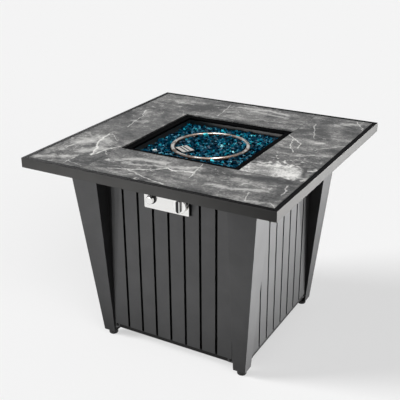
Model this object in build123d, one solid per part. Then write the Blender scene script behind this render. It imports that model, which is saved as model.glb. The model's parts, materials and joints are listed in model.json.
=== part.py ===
from build123d import *
import os
from math import acos, cos, degrees, pi, radians, sin, sqrt
from random import Random

# Table top, in millimetres like every size below
TABLE_WIDTH = 762.0
TABLE_HEIGHT = 602.0
RIM_HEIGHT = 28.5
RIM_WIDTH = 14.0
RIM_WALL = 1.5
RIM_EDGE_RADIUS = 1.2
TILE_THICKNESS = 8.0
TILE_JOINT = 0.6
OPENING_WIDTH = 372.0
RAIL_WIDTH = 25.0
RAIL_WALL = 1.5
RAIL_OVERLAP = 10.0
LEDGE_BAR_WIDTH = 12.0
LEDGE_BAR_THICKNESS = 3.0

# Folded frame round the opening, and the pan that hangs inside it
LEDGE_WIDTH = 21.5
LEDGE_DROP = 4.0
LIP_DEPTH = 6.5
FRAME_SHEET = 1.2
FRAME_CLEARANCE = 1.0
PAN_DEPTH = 49.0
PAN_SHEET = 1.2
PAN_SETBACK = 2.3
PAN_CORNER_RADIUS = 4.0
PAN_FLANGE_CLEARANCE = 0.8
DRAIN_DIAMETER = 6.0
DRAIN_INSET = 28.0

# Ring burner
RING_DIAMETER = 233.0
RING_TUBE = 12.0
RING_WALL = 1.0
RING_DROP = 22.5
RING_SEAM = 0.4
PORT_COUNT = 36
PORT_DIAMETER = 2.2
RISER_DIAMETER = 9.5
RISER_WALL = 1.2
RISER_NUT_FLATS = 17.0
RISER_NUT_HEIGHT = 5.0
RING_SUPPORTS = 3
POST_DIAMETER = 8.0
POST_FOOT_DIAMETER = 16.0
POST_FOOT_THICKNESS = 1.5
POST_CLEARANCE = 0.2

# Gas line between the riser and the valve
GAS_LINE_DROP = 22.0
ELBOW_DIAMETER = 18.0
ELBOW_REACH = 24.0
ELBOW_HEIGHT = 15.0
NIPPLE_DIAMETER = 12.0
NIPPLE_BORE = 8.0
NIPPLE_LENGTH = 10.0
MIXER_DIAMETER = 20.0
MIXER_LENGTH = 60.0
MIXER_WALL = 1.5
MIXER_END_WALL = 4.0
AIR_SLOT_WIDTH = 6.0
AIR_SLOT_LENGTH = 18.0
ORIFICE_FLATS = 16.0
ORIFICE_LENGTH = 12.0
ORIFICE_NOSE_DIAMETER = 10.0
ORIFICE_NOSE_LENGTH = 8.0
ORIFICE_JET = 1.6
PIPE_DIAMETER = 8.0
PIPE_WALL = 1.0
PIPE_SOCKET = 8.0
PIPE_LEAD = 14.0
PIPE_SLOPE_RUN = 40.0
PIPE_BEND_RADIUS = 18.0

# Igniter shield, spark electrode and flame probe inside the ring
SHIELD_ANGLE = 237.0
SHIELD_WIDTH = 49.0
SHIELD_DEPTH = 36.0
SHIELD_RING_GAP = 0.8
SHIELD_RISE = 1.0
SHIELD_SHEET = 0.8
SHIELD_SLOT_WIDTH = 3.8
SHIELD_SLOT_LENGTH = 45.0
SHIELD_SLOT_COUNT = 2
SHIELD_SLOT_PITCH = 10.5
SHIELD_FOOT = 9.0
ELECTRODE_SIDE = -7.0
ELECTRODE_DIAMETER = 2.2
ELECTRODE_REACH = 10.0
INSULATOR_DIAMETER = 7.0
INSULATOR_COLLAR_DIAMETER = 12.0
PROBE_SIDE = 8.0
PROBE_DIAMETER = 5.0
PROBE_NUT_FLATS = 10.0
BELOW_PAN = 14.0
COLLAR_THICKNESS = 3.0
ROOF_CLEARANCE = 6.0

# Bed of fire glass
GLASS_DROP = 29.5
GLASS_CLEARANCE = 0.5
LUMP_PITCH = 26.0
LUMP_WIDTH = 30.0
LUMP_TOP_WIDTH = 16.0
LUMP_FOOT_WIDTH = 18.0
LUMP_CREST = 11.5
LUMP_WAIST = -3.0
LUMP_FOOT = -13.5
LUMP_RISE = 7.0
LUMP_CORNERS = 4
LUMP_TWIST = 31.0
LUMP_SKEW = 17.0
LUMP_TILT = 12.0
LUMP_UNEVEN = 2.4
LUMP_MARGIN = 3.6
GLASS_SEED = 5

# Corner legs, wide at the top and narrow at the floor
BASE_WIDTH = 483.0
LEG_FACE_BOTTOM = 38.5
LEG_FLARE = 49.5
LEG_SHEET = 1.5
LEG_FLANGE = 18.0
LEG_GAP = 4.6
LEG_PLATE = 2.5
FOOT_HEIGHT = 17.0
FOOT_DIAMETER = 28.0
FOOT_EDGE_RADIUS = 4.0
FOOT_STEM_DIAMETER = 8.0
FOOT_STEM_LENGTH = 12.0
FOOT_NUT_FLATS = 13.0
FOOT_NUT_HEIGHT = 6.5
BOLT_DIAMETER = 6.0
BOLT_LENGTH = 15.0
BOLT_HEAD_FLATS = 10.0
BOLT_HEAD_HEIGHT = 4.0
BOLT_EDGE = 12.0

# Grooved side panels and their studs
PANEL_INSET = 1.0
PANEL_SHEET = 1.2
PANEL_BOTTOM = 51.0
PANEL_TOP_GAP = 0.5
SLAT_COUNT = 8
GROOVE_WIDTH = 7.2
GROOVE_DEPTH = 7.0
STUD_DIAMETER = 4.0
STUD_LENGTH = 9.0
STUD_MARGIN = 60.0
STUD_ROWS = 3
STUD_NUT_FLATS = 7.0
STUD_NUT_HEIGHT = 3.2

# Rear access door on two pinned hinges
DOOR_BOTTOM_GAP = 1.5
DOOR_TOP_GAP = 2.0
KNUCKLE_DIAMETER = 4.0
KNUCKLE_CLEARANCE = 0.6
KNUCKLE_FLANGE_GAP = 0.3
HINGE_PIN_DIAMETER = 2.2
HINGE_PIN_FIT = 0.05
HINGE_PIN_HEAD = 3.4
HINGE_PIN_HEAD_HEIGHT = 1.0
HINGE_LEAF_HEIGHT = 24.0
HINGE_LEAF_WIDTH = 7.5
HINGE_LEAF_THICKNESS = 1.3
HINGE_GAP = 0.4
DOOR_KNUCKLE_HEIGHT = 12.5
HINGE_MARGIN = 80.0
PULL_DROP = 260.0
PULL_NECK_DIAMETER = 10.0
PULL_NECK_LENGTH = 11.0
PULL_HEAD_DIAMETER = 22.0
PULL_HEAD_LENGTH = 10.0
PULL_EDGE_RADIUS = 3.0
CATCH_WIDTH = 26.0
CATCH_DEPTH = 16.0
CATCH_HEIGHT = 14.0
CATCH_GAP = 0.3
MAGNET_WIDTH = 20.0
MAGNET_HEIGHT = 8.0
MAGNET_DEPTH = 5.0
MAGNET_FIT = 0.1

# Base tray and the collar for the foot of the gas cylinder
TRAY_GAP = 1.0
TRAY_SHEET = 1.5
TRAY_FLANGE = 12.0
TRAY_SCREW_DIAMETER = 4.0
TRAY_SCREW_LENGTH = 8.0
TRAY_SCREW_DROP = 3.5
TRAY_SCREW_HEAD = 6.6
TRAY_SCREW_HEAD_HEIGHT = 2.2
VENT_DIAMETER = 50.0
VENT_INSET = 80.0
COLLAR_BORE = 214.0
COLLAR_WALL = 2.0
COLLAR_HEIGHT = 16.0
COLLAR_SHIFT = 20.0

# Control plate with the igniter on its left and the valve on its right
PLATE_WIDTH = 141.0
PLATE_HEIGHT = 58.0
PLATE_PROUD = 9.0
PLATE_SHEET = 1.2
PLATE_CORNER_RADIUS = 3.0
CONTROL_DROP = 104.0
CONTROL_SPREAD = 46.0
PLATE_STUD_SPREAD = 20.0
CUTOUT_CLEARANCE = 1.5

# Gas valve, push sleeve, stem and knob
VALVE_WIDTH = 36.0
VALVE_HEIGHT = 34.0
VALVE_LENGTH = 35.0
VALVE_NECK_DIAMETER = 18.0
VALVE_NECK_LENGTH = 20.0
VALVE_FLANGE_WIDTH = 44.0
VALVE_FLANGE_HEIGHT = 20.0
VALVE_FLANGE_THICKNESS = 4.0
VALVE_SCREW_SPREAD = 15.0
VALVE_SCREW_DIAMETER = 4.0
VALVE_SCREW_HEAD = 7.0
VALVE_SCREW_HEAD_HEIGHT = 2.2
OUTLET_DIAMETER = 16.0
OUTLET_LENGTH = 12.0
INLET_DIAMETER = 20.0
INLET_LENGTH = 12.0
INLET_NIPPLE_DIAMETER = 15.9
INLET_NIPPLE_LENGTH = 18.0
INLET_HEX_FLATS = 19.0
INLET_HEX_LENGTH = 8.0
INLET_SHANK_DIAMETER = 12.0
INLET_BORE = 7.0
STEM_DIAMETER = 8.0
STEM_FLAT = 1.5
STEM_INSIDE = 30.0
STEM_IN_KNOB = 8.0
SLEEVE_DIAMETER = 10.4
SLEEVE_LENGTH = 22.0
SLEEVE_SETBACK = 1.8
PUSH_ROOM = 6.0
RUNNING_FIT = 0.05
KNOB_DIAMETER = 42.0
KNOB_SKIRT = 5.0
KNOB_DEPTH = 11.0
KNOB_GAP = 6.0
KNOB_EDGE_RADIUS = 2.0
GRIP_WIDTH = 14.0
GRIP_LENGTH = 36.0
GRIP_EDGE_RADIUS = 1.6
STEM_HOLE = 13.0

# Battery igniter
IGNITER_DIAMETER = 22.0
IGNITER_LENGTH = 54.0
IGNITER_BEZEL_DIAMETER = 28.0
IGNITER_BEZEL_THICKNESS = 3.5
IGNITER_NUT_FLATS = 28.0
IGNITER_NUT_HEIGHT = 4.5
BUTTON_DIAMETER = 18.0
BUTTON_PROUD = 11.5
BUTTON_CAP_DIAMETER = 23.0
BUTTON_CAP_GAP = 4.0
BUTTON_SEAT = 6.5
BUTTON_ROOM = 5.0
BUTTON_EDGE_RADIUS = 2.5
BATTERY_DIAMETER = 10.5
BATTERY_LENGTH = 44.5
BATTERY_CLEARANCE = 0.25
TERMINAL_WIDTH = 4.8
TERMINAL_THICKNESS = 0.8
TERMINAL_LENGTH = 8.0
TERMINAL_SPREAD = 5.0

# Fits shared by the fasteners
THREAD_FIT = 0.1
HOLE_CLEARANCE = 0.3
CUT_MARGIN = 1.0

# Levels, measured up from the floor
top_z = TABLE_HEIGHT
rim_bottom = top_z - RIM_HEIGHT
tile_bottom = top_z - TILE_THICKNESS
ledge_z = top_z - LEDGE_DROP
pan_floor = tile_bottom - PAN_DEPTH
pan_under = pan_floor - PAN_SHEET
ring_z = top_z - RING_DROP
glass_z = top_z - GLASS_DROP
gas_line_z = pan_under - GAS_LINE_DROP
shield_top = ring_z + RING_TUBE / 2 + SHIELD_RISE
panel_top = rim_bottom - LEG_PLATE - PANEL_TOP_GAP
tray_top = PANEL_BOTTOM - TRAY_GAP
tray_screw_z = tray_top - TRAY_SCREW_DROP
control_z = top_z - CONTROL_DROP
door_bottom = PANEL_BOTTOM + DOOR_BOTTOM_GAP
door_top = panel_top - DOOR_TOP_GAP

# Half widths of the table top, measured from the centre
table_half = TABLE_WIDTH / 2
rim_inner = table_half - RIM_WIDTH
tile_outer = rim_inner - TILE_JOINT
opening_half = OPENING_WIDTH / 2
rail_inner = opening_half - RAIL_OVERLAP
rail_outer = rail_inner + RAIL_WIDTH
frame_outer = opening_half - FRAME_CLEARANCE
frame_inner = opening_half - LEDGE_WIDTH
pan_inner = frame_inner + FRAME_SHEET + PAN_SETBACK
pan_outer = pan_inner + PAN_SHEET
pan_flange = frame_outer - FRAME_SHEET - PAN_FLANGE_CLEARANCE

# Half widths of the base, measured from the centre
leg_bottom = BASE_WIDTH / 2
leg_top = leg_bottom + LEG_FLARE
leg_inner = leg_bottom - LEG_FACE_BOTTOM
foot_centre = (leg_bottom + leg_inner) / 2
panel_face = leg_bottom - PANEL_INSET
panel_back = panel_face - PANEL_SHEET
leg_flange_back = panel_back - LEG_SHEET
flange_end = leg_inner - LEG_FLANGE
flange_middle = leg_inner - LEG_FLANGE / 2
panel_half = leg_inner - LEG_GAP
slat_pitch = 2 * panel_half / SLAT_COUNT
tray_half = leg_flange_back

# Hinge axis of the rear door
hinge_x = leg_inner - KNUCKLE_CLEARANCE - KNUCKLE_DIAMETER / 2
hinge_y = panel_back + KNUCKLE_FLANGE_GAP + KNUCKLE_DIAMETER / 2
door_edge = hinge_x - KNUCKLE_DIAMETER / 2

# Ring, riser and gas line
ring_radius = (RING_DIAMETER - RING_TUBE) / 2
ring_inner = ring_radius - RING_TUBE / 2
knob_x = CONTROL_SPREAD
igniter_x = -CONTROL_SPREAD
riser_angle = degrees(acos(knob_x / ring_radius))
riser_y = sqrt(ring_radius ** 2 - knob_x ** 2)
shield_outer = sqrt((ring_inner - SHIELD_RING_GAP) ** 2 - (SHIELD_WIDTH / 2) ** 2)
shield_inner = shield_outer - SHIELD_DEPTH
igniter_radius = shield_inner + SHIELD_DEPTH / 2

# Distances outward from the face of the front panel
plate_front = PLATE_PROUD
plate_back = plate_front - PLATE_SHEET
valve_body_front = plate_back - VALVE_FLANGE_THICKNESS - VALVE_NECK_LENGTH
valve_body_back = valve_body_front - VALVE_LENGTH
valve_body_middle = (valve_body_front + valve_body_back) / 2
outlet_end = valve_body_back - OUTLET_LENGTH
knob_back = plate_front + KNOB_GAP
sleeve_front = plate_back - SLEEVE_SETBACK
stem_end = -STEM_INSIDE
bezel_front = plate_front + IGNITER_BEZEL_THICKNESS
igniter_back = plate_front - IGNITER_LENGTH
button_bore_end = bezel_front - BUTTON_SEAT - BUTTON_ROOM

SIDES = ("front", "right", "rear", "left")
CORNERS = ("front_right", "rear_right", "rear_left", "front_left")
DOOR_SIDE = SIDES.index("rear")


# Shared shapes
def block(x, y, z):
    size = [high - low for low, high in (x, y, z)]
    middle = [(high + low) / 2 for low, high in (x, y, z)]
    return Pos(*middle) * Box(*size)


def disc(radius, low, high):
    return Pos(0, 0, (low + high) / 2) * Cylinder(radius, high - low)


def square_ring(outer, inner, low, high):
    hole = block((-inner, inner), (-inner, inner), (low - CUT_MARGIN, high + CUT_MARGIN))
    return block((-outer, outer), (-outer, outer), (low, high)) - hole


def plate(points, low, high):
    outline = make_face(Polyline(*points, close=True))
    return Pos(0, 0, low) * extrude(outline, high - low, dir=(0, 0, 1))


def hexagon(flats, low, high):
    return Pos(0, 0, low) * extrude(RegularPolygon(flats / 2, 6, major_radius=False), high - low)


def nut(flats, thread, low, high):
    return hexagon(flats, low, high) - disc(thread / 2 + THREAD_FIT, low - CUT_MARGIN, high + CUT_MARGIN)


def quarter_turn(shape, turns):
    return Rot(0, 0, 90 * turns) * shape


def on_front(x, shape, height=control_z):
    # Local X runs right, local Y up and local Z out of the front panel's face.
    face = Plane(origin=(x, -panel_face, height), x_dir=(1, 0, 0), z_dir=(0, -1, 0))
    return face * shape


def at_shield(shape):
    # Local X runs out from the centre of the ring through the shield.
    return Rot(0, 0, SHIELD_ANGLE) * shape


def save(name, *pieces):
    solids = [solid for piece in pieces for solid in piece.solids()]
    export_step(solids[0] if len(solids) == 1 else Compound(solids), f"parts/{name}.step")


# Table top
def rim_rail():
    outer = [
        (-table_half, -table_half),
        (table_half, -table_half),
        (rim_inner, -rim_inner),
        (-rim_inner, -rim_inner),
    ]
    rail = plate(outer, rim_bottom, top_z)
    rail = fillet(rail.edges().filter_by(Axis.X), RIM_EDGE_RADIUS)
    near = table_half - RIM_WALL
    far = rim_inner + RIM_WALL
    hollow = [
        (-near - CUT_MARGIN, -near),
        (near + CUT_MARGIN, -near),
        (far + CUT_MARGIN, -far),
        (-far - CUT_MARGIN, -far),
    ]
    return rail - plate(hollow, rim_bottom + RIM_WALL, top_z - RIM_WALL)


def tile():
    x = (-opening_half + TILE_JOINT, tile_outer)
    y = (-tile_outer, -opening_half)
    return block(x, y, (tile_bottom, top_z))


def tube(x, y):
    # Rectangular tube between the underside of the top and the tiles, open at its two ends.
    along_x = (x[1] - x[0]) > (y[1] - y[0])
    grow = CUT_MARGIN if along_x else -RAIL_WALL
    widen = -RAIL_WALL if along_x else CUT_MARGIN
    outer = block(x, y, (rim_bottom, tile_bottom))
    inner_x = (x[0] - grow, x[1] + grow)
    inner_y = (y[0] - widen, y[1] + widen)
    return outer - block(inner_x, inner_y, (rim_bottom + RAIL_WALL, tile_bottom - RAIL_WALL))


def bolt_places():
    across = (rail_inner + rail_outer) / 2
    along = (rail_inner + BOLT_EDGE, panel_back - BOLT_EDGE)
    return [(side * x, end * across) for side in (-1, 1) for end in (-1, 1) for x in along]


def long_rail():
    rail = tube((-rim_inner, rim_inner), (-rail_outer, -rail_inner))
    wall = (rim_bottom - CUT_MARGIN, rim_bottom + RAIL_WALL + CUT_MARGIN)
    hole = disc(BOLT_DIAMETER / 2 + THREAD_FIT, *wall)
    for x, y in bolt_places():
        if y < 0:
            rail -= Pos(x, y) * hole
    return rail


def cross_rail():
    return tube((rail_inner, rail_outer), (-rail_inner, rail_inner))


def ledge_bars():
    level = (tile_bottom - LEDGE_BAR_THICKNESS, tile_bottom)
    edge = (-rim_inner, -rim_inner + LEDGE_BAR_WIDTH)
    long_bar = block((-rim_inner, rim_inner), edge, level)
    short_bar = block(edge, (-rail_inner, rail_inner), level)
    return [long_bar, quarter_turn(long_bar, 2), short_bar, quarter_turn(short_bar, 2)]


def bowl_frame():
    ledge = square_ring(frame_outer, frame_inner, ledge_z - FRAME_SHEET, ledge_z)
    skirt = square_ring(frame_outer, frame_outer - FRAME_SHEET, tile_bottom, ledge_z)
    lip = square_ring(frame_inner + FRAME_SHEET, frame_inner, ledge_z - LIP_DEPTH, ledge_z)
    return ledge + skirt + lip


# Burner pan and ring
def rounded_block(half, radius, low, high):
    outline = RectangleRounded(2 * half, 2 * half, radius)
    return Pos(0, 0, low) * extrude(outline, high - low)


def burner_pan():
    rim_top = tile_bottom + PAN_SHEET
    shell = rounded_block(pan_outer, PAN_CORNER_RADIUS + PAN_SHEET, pan_under, rim_top)
    shell += block((-pan_flange, pan_flange), (-pan_flange, pan_flange), (tile_bottom, rim_top))
    shell -= rounded_block(pan_inner, PAN_CORNER_RADIUS, pan_floor, rim_top + CUT_MARGIN)
    through = (pan_under - CUT_MARGIN, pan_floor + CUT_MARGIN)
    shell -= Pos(knob_x, riser_y) * disc(RISER_DIAMETER / 2 + HOLE_CLEARANCE, *through)
    electrode_hole = disc(INSULATOR_DIAMETER / 2 + HOLE_CLEARANCE, *through)
    probe_hole = disc(PROBE_DIAMETER / 2 + HOLE_CLEARANCE, *through)
    shell -= at_shield(Pos(igniter_radius, ELECTRODE_SIDE) * electrode_hole)
    shell -= at_shield(Pos(igniter_radius, PROBE_SIDE) * probe_hole)
    drain = pan_inner - DRAIN_INSET
    for corner in range(4):
        shell -= quarter_turn(Pos(drain, drain) * disc(DRAIN_DIAMETER / 2, *through), corner)
    return shell


def hoop(radius):
    # A tube bent into a ring, with its butt seam opposite the riser.
    turn = 360 - degrees(RING_SEAM / ring_radius)
    section = Pos(ring_radius, 0, 0) * Rot(90, 0, 0) * Circle(radius)
    return Pos(0, 0, ring_z) * Rot(0, 0, riser_angle + 180) * revolve(section, Axis.Z, turn)


def burner_ring():
    ring = hoop(RING_TUBE / 2)
    ring += Pos(knob_x, riser_y) * disc(RISER_DIAMETER / 2, gas_line_z, ring_z)
    ring -= hoop(RING_TUBE / 2 - RING_WALL)
    ring -= Pos(knob_x, riser_y) * disc(RISER_DIAMETER / 2 - RISER_WALL, gas_line_z - CUT_MARGIN, ring_z)
    port = Pos(ring_radius, 0) * disc(PORT_DIAMETER / 2, ring_z, ring_z + RING_TUBE)
    pitch = 360 / PORT_COUNT
    first = riser_angle + pitch / 2
    return ring - [Rot(0, 0, first + number * pitch) * port for number in range(PORT_COUNT)]


def riser_nuts():
    upper = nut(RISER_NUT_FLATS, RISER_DIAMETER, pan_floor, pan_floor + RISER_NUT_HEIGHT)
    lower = nut(RISER_NUT_FLATS, RISER_DIAMETER, pan_under - RISER_NUT_HEIGHT, pan_under)
    return [Pos(knob_x, riser_y) * upper, Pos(knob_x, riser_y) * lower]


def post_angles():
    return [riser_angle + 360 * number / RING_SUPPORTS for number in range(1, RING_SUPPORTS)]


def ring_posts():
    shaft = disc(POST_DIAMETER / 2, pan_floor, ring_z - RING_TUBE / 2 - POST_CLEARANCE)
    shaft += disc(POST_FOOT_DIAMETER / 2, pan_floor, pan_floor + POST_FOOT_THICKNESS)
    return [Rot(0, 0, angle) * Pos(ring_radius, 0) * shaft for angle in post_angles()]


# Gas line, drawn along its own axis from the riser towards the front
def on_gas_line(shape):
    line = Plane(origin=(knob_x, riser_y, gas_line_z), x_dir=(1, 0, 0), z_dir=(0, -1, 0))
    return line * shape


mixer_end = ELBOW_REACH + MIXER_LENGTH
orifice_end = mixer_end + ORIFICE_LENGTH


def burner_elbow():
    upward = Rot(-90, 0, 0)
    body = disc(ELBOW_DIAMETER / 2, 0, ELBOW_REACH) + Sphere(ELBOW_DIAMETER / 2)
    body += upward * disc(ELBOW_DIAMETER / 2, 0, ELBOW_HEIGHT)
    body -= disc(NIPPLE_DIAMETER / 2 + THREAD_FIT, 0, ELBOW_REACH + CUT_MARGIN)
    body -= upward * disc(RISER_DIAMETER / 2 + THREAD_FIT, 0, ELBOW_HEIGHT + CUT_MARGIN)
    return on_gas_line(body)


def air_mixer():
    chamber = (ELBOW_REACH + MIXER_END_WALL, mixer_end - MIXER_END_WALL)
    middle = sum(chamber) / 2
    body = disc(MIXER_DIAMETER / 2, ELBOW_REACH, mixer_end)
    body += disc(NIPPLE_DIAMETER / 2, ELBOW_REACH - NIPPLE_LENGTH, ELBOW_REACH)
    body -= disc(MIXER_DIAMETER / 2 - MIXER_WALL, *chamber)
    body -= disc(NIPPLE_BORE / 2, ELBOW_REACH - NIPPLE_LENGTH - CUT_MARGIN, middle)
    body -= disc(ORIFICE_NOSE_DIAMETER / 2 + THREAD_FIT, middle, mixer_end + CUT_MARGIN)
    slot = Pos(0, 0, middle) * Box(AIR_SLOT_WIDTH, MIXER_DIAMETER + CUT_MARGIN, AIR_SLOT_LENGTH)
    body -= slot
    body -= Rot(0, 0, 90) * slot
    return on_gas_line(body)


def gas_orifice():
    body = hexagon(ORIFICE_FLATS, mixer_end, orifice_end)
    body += disc(ORIFICE_NOSE_DIAMETER / 2, mixer_end - ORIFICE_NOSE_LENGTH, mixer_end)
    body -= disc(PIPE_DIAMETER / 2 + THREAD_FIT, orifice_end - PIPE_SOCKET, orifice_end + CUT_MARGIN)
    body -= disc(ORIFICE_JET / 2, mixer_end - ORIFICE_NOSE_LENGTH - CUT_MARGIN, orifice_end)
    return on_gas_line(body)


def feed_pipe():
    valve_end = -panel_face - outlet_end
    start = valve_end - PIPE_SOCKET
    lead = valve_end + PIPE_LEAD
    rise = lead + PIPE_SLOPE_RUN
    finish = riser_y - orifice_end + PIPE_SOCKET
    points = [
        (knob_x, start, control_z),
        (knob_x, lead, control_z),
        (knob_x, rise, gas_line_z),
        (knob_x, finish, gas_line_z),
    ]
    path = FilletPolyline(*points, radius=PIPE_BEND_RADIUS)
    section = Plane(origin=points[0], x_dir=(1, 0, 0), z_dir=(0, 1, 0))
    outer = sweep(section * Circle(PIPE_DIAMETER / 2), path=path)
    inner = sweep(section * Circle(PIPE_DIAMETER / 2 - PIPE_WALL), path=path)
    return outer - inner


# Igniter shield and what it covers
def igniter_shield():
    half = SHIELD_WIDTH / 2
    radial = (shield_inner, shield_outer)
    roof = block(radial, (-half, half), (shield_top - SHIELD_SHEET, shield_top))
    inner_wall = block((shield_inner, shield_inner + SHIELD_SHEET), (-half, half), (pan_floor, shield_top))
    end_wall = block(radial, (-half, -half + SHIELD_SHEET), (pan_floor, shield_top))
    foot = block(
        (shield_inner - SHIELD_FOOT, shield_inner + SHIELD_SHEET),
        (-half, half),
        (pan_floor, pan_floor + SHIELD_SHEET),
    )
    body = roof + inner_wall + end_wall + foot
    for number in range(SHIELD_SLOT_COUNT):
        offset = (number - (SHIELD_SLOT_COUNT - 1) / 2) * SHIELD_SLOT_PITCH
        body -= Pos(igniter_radius + offset, 0, shield_top) * Box(
            SHIELD_SLOT_WIDTH, SHIELD_SLOT_LENGTH, 2 * (SHIELD_SHEET + CUT_MARGIN)
        )
    return at_shield(body)


insulator_top = ring_z - RING_TUBE / 2
electrode_top = shield_top - ROOF_CLEARANCE


def electrode_insulator():
    bottom = pan_under - BELOW_PAN
    body = disc(INSULATOR_DIAMETER / 2, bottom, insulator_top)
    body += disc(INSULATOR_COLLAR_DIAMETER / 2, pan_under - COLLAR_THICKNESS, pan_under)
    body -= disc(ELECTRODE_DIAMETER / 2 + THREAD_FIT, bottom - CUT_MARGIN, insulator_top + CUT_MARGIN)
    return at_shield(Pos(igniter_radius, ELECTRODE_SIDE) * body)


def electrode_rod():
    radius = ELECTRODE_DIAMETER / 2
    bottom = pan_under - BELOW_PAN - TERMINAL_LENGTH
    body = disc(radius, bottom, electrode_top)
    body += Pos(0, 0, electrode_top - radius) * Rot(0, 90, 0) * disc(radius, 0, ELECTRODE_REACH)
    return at_shield(Pos(igniter_radius, ELECTRODE_SIDE) * body)


def flame_probe():
    body = disc(PROBE_DIAMETER / 2, pan_under - BELOW_PAN, electrode_top)
    body += hexagon(PROBE_NUT_FLATS, pan_under - COLLAR_THICKNESS, pan_under)
    return at_shield(Pos(igniter_radius, PROBE_SIDE) * body)


# Bed of glass, a slab with a rough heap of angular lumps on it
def glass_lump(spin):
    # The corners of one chunk stand at three levels, each level twisted against the one below.
    levels = ((LUMP_FOOT_WIDTH, LUMP_FOOT), (LUMP_WIDTH, LUMP_WAIST), (LUMP_TOP_WIDTH, LUMP_CREST))
    points = []
    for number, (width, height) in enumerate(levels):
        for corner in range(LUMP_CORNERS):
            turn = 360 * corner / LUMP_CORNERS + LUMP_TWIST * number
            angle = radians(turn + spin.uniform(-LUMP_SKEW, LUMP_SKEW))
            reach = width / 2 + spin.uniform(-LUMP_UNEVEN, LUMP_UNEVEN)
            level = height + spin.uniform(-LUMP_UNEVEN, LUMP_UNEVEN)
            points.append((reach * cos(angle), reach * sin(angle), level))
    return ConvexPolyhedron(points)


def glass_lumps(half):
    spin = Random(GLASS_SEED)
    room = half - LUMP_WIDTH / 2 - LUMP_MARGIN
    count = int(2 * room / LUMP_PITCH) + 1
    step = 2 * room / (count - 1)
    lumps = []
    for row in range(count):
        for column in range(count):
            x = (column - (count - 1) / 2) * (step - spin.uniform(0, LUMP_UNEVEN))
            y = (row - (count - 1) / 2) * (step - spin.uniform(0, LUMP_UNEVEN))
            height = glass_z - LUMP_CREST + spin.uniform(LUMP_UNEVEN, LUMP_RISE)
            lean = [spin.uniform(-LUMP_TILT, LUMP_TILT) for axis in range(2)]
            place = Pos(x, y, height) * Rot(*lean, spin.uniform(0, 360 / LUMP_CORNERS))
            lumps.append(place * glass_lump(spin))
    return lumps


def fire_glass():
    half = pan_inner - GLASS_CLEARANCE
    bed = rounded_block(half, PAN_CORNER_RADIUS, pan_floor, glass_z)
    bed = bed.fuse(*glass_lumps(half))
    trench = RING_TUBE / 2 + GLASS_CLEARANCE
    level = (ring_z - trench, top_z)
    bed -= disc(ring_radius + trench, *level) - disc(ring_radius - trench, *level)
    through = (pan_floor - CUT_MARGIN, ring_z)
    nut_corner = RISER_NUT_FLATS / 2 / cos(pi / 6)
    bed -= Pos(knob_x, riser_y) * disc(nut_corner + GLASS_CLEARANCE, *through)
    well = disc(POST_FOOT_DIAMETER / 2 + GLASS_CLEARANCE, *through)
    for angle in post_angles():
        bed -= Rot(0, 0, angle) * Pos(ring_radius, 0) * well
    half_width = SHIELD_WIDTH / 2 + GLASS_CLEARANCE
    radial = (shield_inner - SHIELD_FOOT - GLASS_CLEARANCE, ring_inner)
    bed -= at_shield(block(radial, (-half_width, half_width), (pan_floor - CUT_MARGIN, top_z)))
    return bed


# Corner legs, drawn for the front right corner
def leg_section(corner):
    outside = [
        (flange_end, panel_back),
        (leg_inner, panel_back),
        (leg_inner, corner),
        (corner, corner),
        (corner, leg_inner),
        (panel_back, leg_inner),
        (panel_back, flange_end),
    ]
    back = leg_flange_back
    inside = [
        (back, flange_end),
        (back, leg_inner + LEG_SHEET),
        (corner - LEG_SHEET, leg_inner + LEG_SHEET),
        (corner - LEG_SHEET, corner - LEG_SHEET),
        (leg_inner + LEG_SHEET, corner - LEG_SHEET),
        (leg_inner + LEG_SHEET, back),
        (flange_end, back),
    ]
    return [(x, -y) for x, y in outside + inside]


def tapered_shell():
    lower = [(x, y, FOOT_HEIGHT) for x, y in leg_section(leg_bottom)]
    upper = [(x, y, rim_bottom) for x, y in leg_section(leg_top)]
    faces = [Face(Wire.make_polygon(lower)), Face(Wire.make_polygon(upper))]
    for number in range(len(lower)):
        after = (number + 1) % len(lower)
        side = [lower[number], lower[after], upper[after], upper[number]]
        faces.append(Face(Wire.make_polygon(side)))
    return Solid(Shell(faces))


def stud_heights():
    first = PANEL_BOTTOM + STUD_MARGIN
    last = panel_top - STUD_MARGIN
    return [first + (last - first) * row / (STUD_ROWS - 1) for row in range(STUD_ROWS)]


def through_front_flange(radius, height):
    # A hole along Y through the flange behind the front panel.
    depth = (-panel_face - CUT_MARGIN, -leg_flange_back + LEG_SHEET + CUT_MARGIN)
    return Pos(flange_middle, 0, height) * Rot(90, 0, 0) * disc(radius, -depth[1], -depth[0])


def through_side_flange(radius, height):
    depth = (leg_flange_back - LEG_SHEET - CUT_MARGIN, panel_face + CUT_MARGIN)
    return Pos(0, -flange_middle, height) * Rot(0, 90, 0) * disc(radius, *depth)


def below_flanges():
    # The flanges behind the panels stop at the underside of the tray.
    level = (FOOT_HEIGHT - CUT_MARGIN, tray_top - TRAY_FLANGE)
    along = (flange_end - CUT_MARGIN, leg_inner)
    across = (leg_flange_back - CUT_MARGIN, panel_back + CUT_MARGIN)
    first = block(along, (-across[1], -across[0]), level)
    second = block(across, (-along[1], -along[0]), level)
    return [first, second]


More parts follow.
